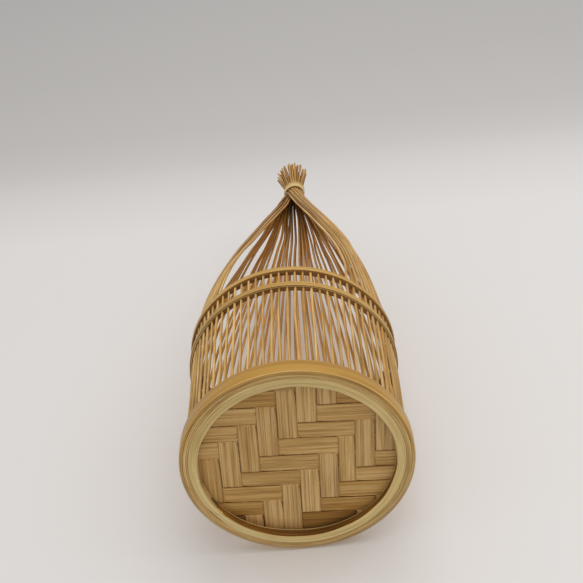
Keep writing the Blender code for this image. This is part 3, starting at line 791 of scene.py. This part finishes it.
# how far along the picture each rod stands at six heights of it, read off the photograph
GUIDE_ROWS = (262.0, 250.0, 240.0, 220.0, 205.0, 198.0)
GUIDE = {
    8: (344.4, 339.0, 332.4, 314.0, 298.4, 291.6), 9: (347.6, 342.0, 335.2, 316.8, 301.0, 294.0),
    10: (350.6, 345.0, 338.0, 319.6, 303.6, 296.4), 11: (353.4, 347.6, 340.6, 322.2, 306.0, 298.8),
    12: (355.8, 349.8, 342.9, 324.6, 308.2, 301.0), 13: (357.8, 351.4, 344.8, 326.6, 310.0, 302.8),
    14: (359.2, 352.4, 346.2, 328.0, 311.4, 304.2), 15: (360.2, 353.0, 347.0, 328.7, 312.1, 304.9),
    16: (360.8, 353.1, 347.2, 328.8, 312.3, 305.1), 17: (360.6, 353.0, 346.8, 328.2, 311.7, 304.7),
    18: (359.6, 352.0, 345.8, 327.2, 310.8, 303.9),
    19: (357.0, None, 343.8, 325.4, 309.6, None), 20: (355.0, None, 342.0, 324.0, 308.8, None),
    21: (352.4, None, 339.6, 321.9, 307.4, None), 22: (349.6, None, 337.0, 320.0, 306.4, None),
    23: (346.6, None, 334.0, 318.0, 305.4, None), 24: (344.2, None, 331.2, 316.2, 304.4, None),
    25: (342.1, 335.0, 328.6, 315.0, 304.0, None), 26: (336.8, 330.8, 325.4, 313.2, 303.2, None),
    27: (335.8, 329.5, 323.8, 312.2, 302.8, None), 28: (334.6, 328.3, 322.4, 311.4, 302.2, None),
    29: (330.9, 324.6, 320.2, 310.6, 301.4, None), 30: (328.3, 322.8, 318.7, 310.0, 300.8, None),
    31: (323.5, 318.7, 315.2, 308.2, 299.8, None), 32: (319.2, 315.5, 313.8, 307.6, 299.4, None),
    33: (315.7, 312.9, 310.6, 304.9, 298.6, None), 34: (311.1, 309.1, 307.6, 303.6, 297.9, None),
    35: (308.7, 307.2, 305.8, 302.4, 297.4, None), 36: (306.2, 305.0, 303.9, 301.2, 297.0, None),
    37: (303.8, 303.0, 302.2, 300.2, 296.6, None), 38: (301.4, 301.0, 300.6, 299.2, 296.2, None),
    39: (299.5, 299.4, 299.2, 298.4, 295.8, None), 40: (295.1, 295.5, 296.1, 295.2, 294.4, None),
    -41: (294.4, 295.0, 295.7, 294.5, 293.8, None), -40: (290.2, 291.4, 292.3, 292.1, 292.0, None),
    -39: (289.4, 291.0, 291.5, 290.8, 291.4, None), -38: (286.3, 287.4, 288.6, 289.9, 290.8, None),
    -37: (283.5, 285.7, 287.4, 287.2, 289.4, None), -36: (282.7, 285.1, 286.9, 286.6, 288.8, None),
    -35: (279.6, 282.4, 285.2, 286.0, 288.4, None), -34: (278.9, 281.8, 284.8, 285.4, 288.0, None),
    -33: (274.8, 278.0, 281.3, 284.4, 287.6, None), -32: (274.2, 277.6, 280.9, 283.8, 287.0, None),
    -31: (268.2, 272.5, 276.0, 281.8, 286.2, None), -30: (265.0, 270.2, 274.2, 281.0, 285.6, None),
    -29: (263.4, 268.8, 272.6, 280.2, 285.0, None), -28: (262.0, 267.3, 271.3, 279.4, 284.6, None),
    -27: (258.9, 265.8, 269.9, 278.6, 284.2, None), -26: (257.6, 264.6, 269.1, 277.8, 283.8, None),
    -25: (249.8, 256.8, 264.0, 276.6, 283.6, None), -24: (246.8, 255.8, 263.3, 275.6, 283.0, None),
    -23: (246.3, 254.8, 262.5, 274.4, 282.4, None), -22: (245.6, 253.8, 261.7, 273.4, 281.8, None),
    -21: (244.9, 252.9, 260.9, 272.4, 281.4, None), -20: (244.1, 252.0, 260.2, 271.6, 280.8, None),
    -19: (244.3, 252.2, 260.3, 271.4, 280.6, None), -18: (231.6, 239.7, 248.8, 266.9, 280.7, 285.2),
    -17: (230.4, 239.3, 248.2, 266.3, 280.2, 284.8), -16: (229.8, 238.8, 247.7, 266.1, 280.0, 284.6),
    -15: (230.2, 239.0, 247.9, 266.5, 280.6, 285.2), -14: (231.0, 239.5, 248.5, 267.4, 281.4, 286.0),
    -13: (232.4, 242.7, 251.5, 268.6, 282.4, 286.8), -12: (233.2, 243.0, 252.2, 269.8, 283.4, 287.6),
    -11: (233.8, 243.2, 252.8, 270.8, 284.4, 288.4), -10: (234.4, 243.5, 253.5, 271.8, 285.2, 289.0),
}


def tie_places(ks):
    """A place in the tie for each rod: fixed for the front bunches, the nearest fair one for the rest."""
    spots, first = [], []
    for count, r, a0 in TIE_RINGS:
        first.append(len(spots))
        for i in range(count):
            a = math.radians(a0 + 360.0 * i / count)
            spots.append((r * math.cos(a), r * math.sin(a)))
    spots = np.array(spots)
    place = [None] * len(ks)
    for k, (ring, i) in TIE_PLACE.items():
        place[ks.index(k)] = first[ring] + i
    left = [i for i in range(len(spots)) if i not in place]
    movable = [i for i in range(len(ks)) if place[i] is None]
    for i, spot in zip(movable, left):
        place[i] = spot
    want = []
    for k in ks:
        a = rod_angle(k)
        r = (5.6, 3.0, 4.4, 1.6)[k % 4]
        want.append((r * math.sin(a), -r * math.cos(a) + 1.2))
    cost = ((np.array(want)[:, None, :] - spots[None]) ** 2).sum(-1)
    better = True
    while better:
        better = False
        for p in range(len(movable)):
            for q in range(p + 1, len(movable)):
                i, j = movable[p], movable[q]
                if cost[i, place[j]] + cost[j, place[i]] < cost[i, place[i]] + cost[j, place[j]] - 1e-9:
                    place[i], place[j] = place[j], place[i]
                    better = True
    ring = np.searchsorted(first, place, side="right") - 1
    return spots[place], ring


def eased(z, zs, vs):
    """Smooth curve through points that never overshoots them."""
    zs, vs = np.array(zs), np.array(vs)
    d = np.diff(vs) / np.diff(zs)
    m = np.zeros_like(vs)
    for i in range(1, len(vs) - 1):
        m[i] = 0.0 if d[i - 1] * d[i] <= 0 else 2 * d[i - 1] * d[i] / (d[i - 1] + d[i])
    m[0], m[-1] = d[0], d[-1]
    i = np.clip(np.searchsorted(zs, z) - 1, 0, len(zs) - 2)
    h = zs[i + 1] - zs[i]
    t = np.clip((z - zs[i]) / h, 0, 1)
    return ((2 * t ** 3 - 3 * t * t + 1) * vs[i] + (t ** 3 - 2 * t * t + t) * h * m[i]
            + (-2 * t ** 3 + 3 * t * t) * vs[i + 1] + (t ** 3 - t * t) * h * m[i + 1])


def gathered_lines():
    """Lines of the rods that run on to the tie and the tuft, pushed apart where they would overlap."""
    ks = [k for k in range(-41, 41) if k not in FRONT]
    n = len(ks)
    tie, tie_ring = tie_places(ks)
    levels = np.concatenate([np.linspace(97.2, 237.2, 29), np.arange(241.2, 289.0, 4.0), [289.6, 293.2, 296.8]])
    x0 = np.zeros((len(levels), n, 2))
    t = np.linspace(0, 1, 400)
    for i, k in enumerate(ks):
        a = rod_angle(k)
        p0 = np.array((57.0 * math.sin(a), -57.0 * math.cos(a), 97.2))
        p1 = np.array((51.8 * math.sin(a), -51.8 * math.cos(a), 145.0))
        p3 = np.array((TIE_X + tie[i, 0], TIE_Y + tie[i, 1], 289.6))
        far = np.array((57.0 * math.sin(a) - p3[0], -57.0 * math.cos(a) - p3[1]))
        far /= np.linalg.norm(far)
        p2 = np.array((p3[0] + far[0] * 45.0, p3[1] + far[1] * 45.0, 176.0))
        curve = (np.outer((1 - t) ** 3, p0) + np.outer(3 * (1 - t) ** 2 * t, p1)
                 + np.outer(3 * (1 - t) * t * t, p2) + np.outer(t ** 3, p3))
        shift = np.zeros(len(curve))
        for _again in range(3):
            moved = curve + np.outer(shift, (1.0, 0.0, 0.0))
            flat = seen(moved)
            zs, ds = [97.2], [0.0]
            for row, col in zip(GUIDE_ROWS, GUIDE[k]):
                if col is None:
                    continue
                j = int(np.argmin(np.abs(flat[:, 1] - row)))
                scale = np.linalg.norm(seen(moved[j] + (1.0, 0.0, 0.0)) - seen(moved[j]))
                zs.append(curve[j, 2])
                ds.append(shift[j] + (col - flat[j, 0]) / scale)
            zs.append(289.6)
            ds.append(0.0)
            order = np.argsort(zs)
            shift = eased(curve[:, 2], np.array(zs)[order], np.array(ds)[order])
        for c in (0, 1):
            x0[:, i, c] = np.interp(levels, curve[:, 2], curve[:, c] + (shift if c == 0 else 0.0))
    size = np.interp(levels, (97.0, 190.0, 286.0, 300.0), (ROD_R, ROD_R, TIE_ROD + 0.005, TIE_ROD))
    x = x0.copy()
    gap = (2.0 * size + 0.02)[:, None]
    free = np.ones(len(levels))
    free[0] = free[-2] = 0.0
    number = np.array(ks)
    crossing = ((number >= 8) & (number <= 18))[:, None] & ((number <= -10) & (number >= -18))[None, :]
    for step in range(260):
        d = x[:, :, None, :] - x[:, None, :, :]
        dist = np.sqrt((d ** 2).sum(-1)) + 1e-6
        over = np.clip(gap[..., None] - dist, 0.0, None)
        over[:, np.arange(n), np.arange(n)] = 0.0
        x = x + (d / dist[..., None] * over[..., None]).sum(2) * 0.30 * free[:, None, None]
        # the right bunch lies in front of the left one
        dx = np.abs(x[:, :, None, 0] - x[:, None, :, 0])
        dy = x[:, :, None, 1] - x[:, None, :, 1]
        near = crossing[None] & (dx < gap[..., None]) & (levels[:, None, None] > 250.0)
        want = -np.sqrt(np.clip(gap[..., None] ** 2 - dx ** 2, 0.0, None))
        bad = np.where(near, np.clip(dy - want, 0.0, None), 0.0)
        x[:, :, 1] -= np.clip(bad.max(2), 0.0, 0.25) * free[:, None]
        x[:, :, 1] += np.clip(bad.max(1), 0.0, 0.25) * free[:, None]
        if step < 235:
            e = x - x0
            lap = np.zeros_like(e)
            lap[1:-1] = e[:-2] + e[2:] - 2 * e[1:-1]
            x = x + lap * 0.22 * free[:, None, None]
        for lv in range(len(levels)):
            if levels[lv] >= 289.0:
                c = x[lv] - (TIE_X, TIE_Y)
                r = np.sqrt((c ** 2).sum(-1))
                c *= np.minimum(1.0, (6.05 - size[lv]) / np.maximum(r, 1e-6))[:, None]
                x[lv] = c + (TIE_X, TIE_Y)
    lines = {}
    reach = (11.0, 9.9, 8.1, 5.0, 1.0)
    for i, k in enumerate(ks):
        rng = np.random.default_rng(900 + k)
        pts, rad = lower_line(k, 96.0)
        rad = list(rad)
        for lv, z in enumerate(levels):
            if lv == 0:
                continue
            pts.append((x[lv, i, 0], x[lv, i, 1], z))
            rad.append(size[lv])
        # the tuft: the ends lean out, straight from the tie
        end = x[-1, i] - (TIE_X, TIE_Y)
        a = math.atan2(end[1], end[0])
        r = reach[tie_ring[i]] + rng.normal(0, 0.25)
        if tie_ring[i] == 0:
            r += 1.1 * math.exp(-((abs(math.degrees(a)) - 172.0) / 18.0) ** 2)
            r -= 0.8 * math.exp(-((math.degrees(a) + 66.0) / 7.0) ** 2)
            # a gap where two groups lean apart
            d = math.degrees(a) + 43.0
            a += math.radians(6.0 * math.exp(-(d / 16.0) ** 2)) * (1 if d > 0 else -1)
        a += rng.normal(0, 0.03)
        # at the right and the back the ends stay closer together
        start = math.hypot(end[0], end[1])
        r = start + max(r - start, 0.0) * (1.0 - 0.58 * math.exp(-((math.degrees(a) - 30.0) / 46.0) ** 2))
        tip = (r * math.cos(a), r * math.sin(a))
        high = (317.2, 317.9, 318.9, 320.0, 320.4)[tie_ring[i]] + rng.normal(0, 0.4)
        for f in (0.16, 0.4, 0.7, 1.0):
            pts.append((TIE_X + end[0] + (tip[0] - end[0]) * f, TIE_Y + end[1] + (tip[1] - end[1]) * f,
                        296.8 + (high - 296.8) * f))
            rad.append(TIE_ROD)
        lines[k] = (pts, rad)
    return lines


BUNCHES = (("right_front_rods", 8, 16), ("right_side_rods", 17, 24), ("right_back_rods", 25, 32),
           ("back_rods_right", 33, 40), ("back_rods_left", -41, -34), ("left_back_rods", -33, -26),
           ("left_side_rods", -25, -18), ("left_front_rods", -17, -10))


HIGH_TONE = {8: 0.16, 9: -0.22, 10: 0.06, 11: -0.12, 12: 0.12, 13: -0.24, 14: 0.04, 15: 0.10, 16: -0.14, 17: 0.06,
             18: -0.10, -10: -0.02, -11: -0.24, -12: 0.08, -13: 0.12, -14: -0.20, -15: 0.06, -16: -0.10, -17: 0.10,
             -18: -0.12}


def build_rods():
    for i, k in enumerate(FRONT):
        rng = np.random.default_rng(40 + k)
        pts, rad = lower_line(k, 96.75 + rng.uniform(-0.1, 0.25))
        v, f, index, fib, brown_and_shade = tube(pts, rad, k + 50, spin=0.4 * k)
        tone, grey, red = rod_look(k)
        piece("front_rod_piece_%02d" % (i + 1), v, f, (ROD, TUFT), ("front_rod_%02d" % (i + 1),),
              index=index, fib=fib, tone=tone, grey=grey, extra={"edge": brown_and_shade, "red": red})
    lines = gathered_lines()
    centre = {k: np.asarray(lines[k][0], float) for k in lines}
    for name, first, last in BUNCHES:
        vs, fs, ids, fibs, tones, greys, browns_and_shades, reds = [], [], [], [], [], [], [], []
        o = 0
        for k in range(first, last + 1):
            pts, rad = lines[k]
            if abs(k) >= 21:
                rad = [r * (1.0 + 0.13 * min(max((p[2] - 100.0) / 30.0, 0.0), 1.0)
                            * min(max((280.0 - p[2]) / 40.0, 0.0), 1.0)) for p, r in zip(pts, rad)]
            v, f, index, fib, brown_and_shade = tube(pts, rad, k + 50, sides=12, spin=0.4 * k)
            tone, grey, red = rod_look(k)
            z = v[:, 2]
            # the rods at the two sides are a little darker and more even
            beside = math.exp(-((abs(k) - 19.0) / 5.0) ** 2) * np.clip((100.0 - z) / 6.0, 0.0, 1.0)
            brown_and_shade = brown_and_shade * (1.0 - 0.3 * beside)
            tone = tone - 0.07 * beside
            high = np.clip((z - 110.0) / 60.0, 0.0, 1.0)
            touch = touching(v, centre[k], [centre[m] for m in centre if m != k])
            # the back rods stand in the shade of the bunches just below the tie
            behind = 0.0 if -18 <= k <= 18 else 0.58 * np.clip((z - 246.0) / 38.0, 0.0, 1.0) - 0.10 * high
            if -18 <= k <= -10:
                behind = 0.16 * high
            behind = behind * np.clip((297.0 - z) / 3.0, 0.0, 1.0)
            vs.append(v)
            fibs.append(fib)
            fs += [tuple(o + q for q in face) for face in f]
            ids += index
            # painted shade between the gathered rods: darker and browner where they touch and along their sides
            # (flank), with a tone of each rod (lift, HIGH_TONE); above the tie the rods are browner
            flank = np.abs((fib[:, 1] - (k + 50) * 5.7) / 0.9) ** 3
            gap = (0.24 * touch ** 1.5 + 0.16 * flank - 0.03) * high * np.clip((297.0 - z) / 3.0, 0.0, 1.0)
            lift = 0.12 if 8 <= k <= 18 else 0.06
            gap = gap - (lift + HIGH_TONE.get(k, 0.0)) * high * np.clip((297.0 - z) / 3.0, 0.0, 1.0)
            tones.append(tone * (1.0 + 0.8 * high) - behind - gap
                         - 0.04 * np.clip((z - 297.0) / 3.0, 0.0, 1.0))
            greys.append(np.full(len(v), grey))
            browns_and_shades.append(np.clip(brown_and_shade * (1.0 - 0.25 * high) + 0.95 * touch + 0.40 * flank * high, 0.0, 1.0))
            reds.append(red + 0.7 * high * (0.25 if 8 <= k <= 18 else 1.0) * np.clip((300.0 - z) / 4.0, 0.0, 1.0)
                        + 0.55 * np.clip((z - 296.0) / 4.0, 0.0, 1.0))
            o += len(v)
        piece(name + "_piece", np.concatenate(vs), fs, (ROD, TUFT), (name,), index=ids,
              fib=np.concatenate(fibs), tone=np.concatenate(tones), grey=np.concatenate(greys),
              extra={"edge": np.concatenate(browns_and_shades), "red": np.concatenate(reds)})


def build_tie():
    """A flat strip wound twice round the rods; the lower turn is a little looser."""
    lo, hi = 58.0, 122.0
    width, rise = 3.40, 3.60
    stations = []
    for turn in range(2):
        for i in range(97):
            stations.append((hi + (360.0 - (hi - lo)) * i / 96 + 360.0 * turn, float(turn)))
        if turn == 0:
            for i in range(1, 20):
                f = i / 20
                stations.append((lo + 360.0 + (hi - lo) * f, f * f * (3 - 2 * f)))
    # inner foot, bottom edge, outer face, top edge
    prof = ((0.0, 0.14, 0), (0.10, 0.0, 1), (0.70, -0.04, 1), (0.84, 0.04, 1), (0.92, 0.22, 1), (0.95, 0.60, 0),
            (0.97, 1.2, 0), (0.97, 2.3, 0), (0.93, 2.9, 0), (0.86, 3.2, 0), (0.74, 3.36, 0), (0.10, width, 0),
            (0.0, width - 0.14, 0))
    rings, fib, tone = [], [], []
    for deg, up in stations:
        a = math.radians(deg)
        r0 = 6.42 + 0.04 * math.cos(5 * a + 1.0)
        thick = 1.16 + (0.92 - 1.16) * up
        cx, cy = -0.12 * (1.0 - up), -0.34 * (1.0 - up)
        ring = []
        for dr, dz, _m in prof:
            x, y = (r0 + dr * thick) * math.cos(a) + cx, (r0 + dr * thick) * math.sin(a) + cy
            z = TIE_Z0 + 0.06 + rise * up + dz + (0.12 - 0.06 * up) * x
            ring.append((TIE_X + x, TIE_Y + y, z))
            fib.append((dz + 60.0, dr * 1.3 + 4.0, math.radians(deg) * 6.8))
            # painted shade where the upper turn stands on the lower one, and a painted highlight along the lower
            # turn's upper rim
            tone.append(0.07 - 0.52 * up * max(0.0, 1.0 - max(dz, 0.0) / 1.5)
                        + 0.24 * (1.0 - up) * min(1.0, max(0.0, (dz - 2.0) / 0.9)))
        rings.append(np.array(ring))
    v, f = swept_hoop(rings, closed=False)
    n = len(prof)
    index = []
    for s in range(len(stations) - 1):
        for k in range(n):
            index.append(prof[k][2])
    index += [0, 0]
    piece("tie_band", v, f, (TIE, TIE_EDGE), ("tie_strip",), index=index, fib=np.array(fib),
          tone=np.array(tone), grey=0.2, angle=50)


# ---- stage, light and camera -----------------------------------------------------------------------

def plane(name, corners, material):
    mesh = bpy.data.meshes.new(name)
    mesh.from_pydata(corners, [], [(0, 1, 2, 3)])
    ob = bpy.data.objects.new(name, mesh)
    bpy.context.scene.collection.objects.link(ob)
    ob.data.materials.append(material)
    ob.visible_diffuse = ob.visible_glossy = ob.visible_transmission = ob.visible_shadow = False
    return ob


def stage_material(name, colour, heights, factors, warm=None):
    """Pale matt surface that shows only its front, darker with height as the light falls off.

    warm tints the light that falls on it between the rods: (tint, half width, height)."""
    mat = bpy.data.materials.new(name)
    mat.use_nodes = True
    nt = mat.node_tree
    nt.nodes.clear()
    out = nt.nodes.new("ShaderNodeOutputMaterial")
    mix = nt.nodes.new("ShaderNodeMixShader")
    dif = nt.nodes.new("ShaderNodeBsdfDiffuse")
    clear = nt.nodes.new("ShaderNodeBsdfTransparent")
    geo = nt.nodes.new("ShaderNodeNewGeometry")
    sep = nt.nodes.new("ShaderNodeSeparateXYZ")
    along = nt.nodes.new("ShaderNodeMapRange")
    along.inputs["From Min"].default_value = heights[0]
    along.inputs["From Max"].default_value = heights[-1]
    ramp = nt.nodes.new("ShaderNodeValToRGB")
    e = ramp.color_ramp.elements
    while len(e) < len(heights):
        e.new(0.5)
    for el, h, f in zip(e, heights, factors):
        el.position = (h - heights[0]) / (heights[-1] - heights[0])
        el.color = (colour[0] * f, colour[1] * f, colour[2] * f, 1.0)
    nt.links.new(geo.outputs["Position"], sep.inputs[0])
    nt.links.new(sep.outputs["Z"], along.inputs[0])
    nt.links.new(along.outputs[0], ramp.inputs[0])
    if warm:
        tint, half, high = warm
        wide = nt.nodes.new("ShaderNodeMath")
        wide.operation = 'ABSOLUTE'
        nt.links.new(sep.outputs["X"], wide.inputs[0])
        parts = []
        for source, far, near in ((wide.outputs[0], half + 0.008, half - 0.012),
                                  (sep.outputs["Z"], high + 0.05, high - 0.05),
                                  (sep.outputs["Z"], 0.012, 0.040)):
            fade = nt.nodes.new("ShaderNodeMapRange")
            fade.interpolation_type = 'SMOOTHSTEP'
            fade.inputs["From Min"].default_value = min(near, far)
            fade.inputs["From Max"].default_value = max(near, far)
            fade.inputs["To Min"].default_value = 1.0 if near < far else 0.0
            fade.inputs["To Max"].default_value = 0.0 if near < far else 1.0
            nt.links.new(source, fade.inputs[0])
            parts.append(fade.outputs[0])
        both = parts[0]
        for part in parts[1:]:
            times = nt.nodes.new("ShaderNodeMath")
            times.operation = 'MULTIPLY'
            nt.links.new(both, times.inputs[0])
            nt.links.new(part, times.inputs[1])
            both = times.outputs[0]
        tinted = nt.nodes.new("ShaderNodeMix")
        tinted.data_type, tinted.blend_type = 'RGBA', 'MULTIPLY'
        nt.links.new(both, tinted.inputs[0])
        nt.links.new(ramp.outputs[0], tinted.inputs[6])
        tinted.inputs[7].default_value = tuple(tint) + (1.0,)
        nt.links.new(tinted.outputs[2], dif.inputs["Color"])
    else:
        nt.links.new(ramp.outputs[0], dif.inputs["Color"])
    nt.links.new(geo.outputs["Backfacing"], mix.inputs[0])
    nt.links.new(dif.outputs[0], mix.inputs[1])
    nt.links.new(clear.outputs[0], mix.inputs[2])
    nt.links.new(mix.outputs[0], out.inputs[0])
    return mat


def area(name, at, to, size, power, colour):
    data = bpy.data.lights.new(name, 'AREA')
    data.shape = 'DISK'
    data.size = size
    data.energy = power
    data.color = colour
    ob = bpy.data.objects.new(name, data)
    ob.location = at
    ob.rotation_mode = 'QUATERNION'
    ob.rotation_quaternion = (Vector(to) - Vector(at)).to_track_quat("-Z", "Y")
    bpy.context.scene.collection.objects.link(ob)
    return ob


# the table: heights (metres) and how bright it is there
TABLE_Z = (0.0, 0.353, 0.423, 0.451, 0.481, 0.512, 0.545, 0.618, 0.696, 0.790, 0.945)
TABLE_F = (1.0, 1.0, 0.913, 0.862, 0.795, 0.759, 0.732, 0.718, 0.705, 0.71, 0.712)


def build_stage():
    pale = (0.868, 0.836, 0.812)
    table = stage_material("table_matt", pale, TABLE_Z, TABLE_F, ((1.09, 1.01, 0.93), 0.054, 0.20))
    floor = stage_material("floor_matt", pale, (0.0, 1.0), (1.0, 1.0))
    y = 0.0607
    plane("table", [(-4, y, -2), (4, y, -2), (4, y, 6), (-4, y, 6)], table)
    plane("floor", [(-4, -6, 0), (4, -6, 0), (4, 6, 0), (-4, 6, 0)], floor)
    world = bpy.data.worlds.new("studio")
    bpy.context.scene.world = world
    world.use_nodes = True
    bg = world.node_tree.nodes["Background"]
    bg.inputs["Color"].default_value = (0.975, 0.985, 1.0, 1.0)
    bg.inputs["Strength"].default_value = 0.527
    area("key_above", (0.10, -1.20, 0.45), (0.0, 0.0, 0.12), 0.9, 2.85, (1.0, 0.985, 0.96))
    area("key_low", (0.16, -1.25, -0.25), (0.0, 0.0, 0.12), 0.8, 2.0, (1.0, 0.985, 0.96))
    area("side", (0.72, -1.04, 0.08), (0.0, 0.0, 0.12), 0.7, 1.75, (1.0, 0.985, 0.96))
    area("under_fill", (0.0, -0.6, -1.4), (0.0, 0.0, 0.12), 1.5, 2.7, (1.0, 0.99, 0.975))
    area("back_fill", (-0.5, 1.4, 0.8), (0.0, 0.0, 0.14), 1.4, 0.9, (1.0, 0.99, 0.97))


def build_camera():
    data = bpy.data.cameras.new("camera")
    data.sensor_width = 36.0
    data.lens = FOCAL / PICTURE * 36.0
    data.clip_start, data.clip_end = 0.01, 20.0
    ob = bpy.data.objects.new("camera", data)
    m = Matrix.Identity(4)
    for i in range(3):
        m[i][0], m[i][1], m[i][2], m[i][3] = RIGHT[i], -DOWN[i], -AHEAD[i], CAMERA_AT[i]
    ob.matrix_world = m
    bpy.context.scene.collection.objects.link(ob)
    bpy.context.scene.camera = ob
    view = bpy.context.scene.view_settings
    view.view_transform = 'Standard'
    view.look = 'None'
    view.exposure, view.gamma = 0.0, 1.0


build_camera()
build_stage()
build_base()
for number in range(10):
    weave_strip(True, number)
    weave_strip(False, number)
build_rings()
build_rods()
build_tie()
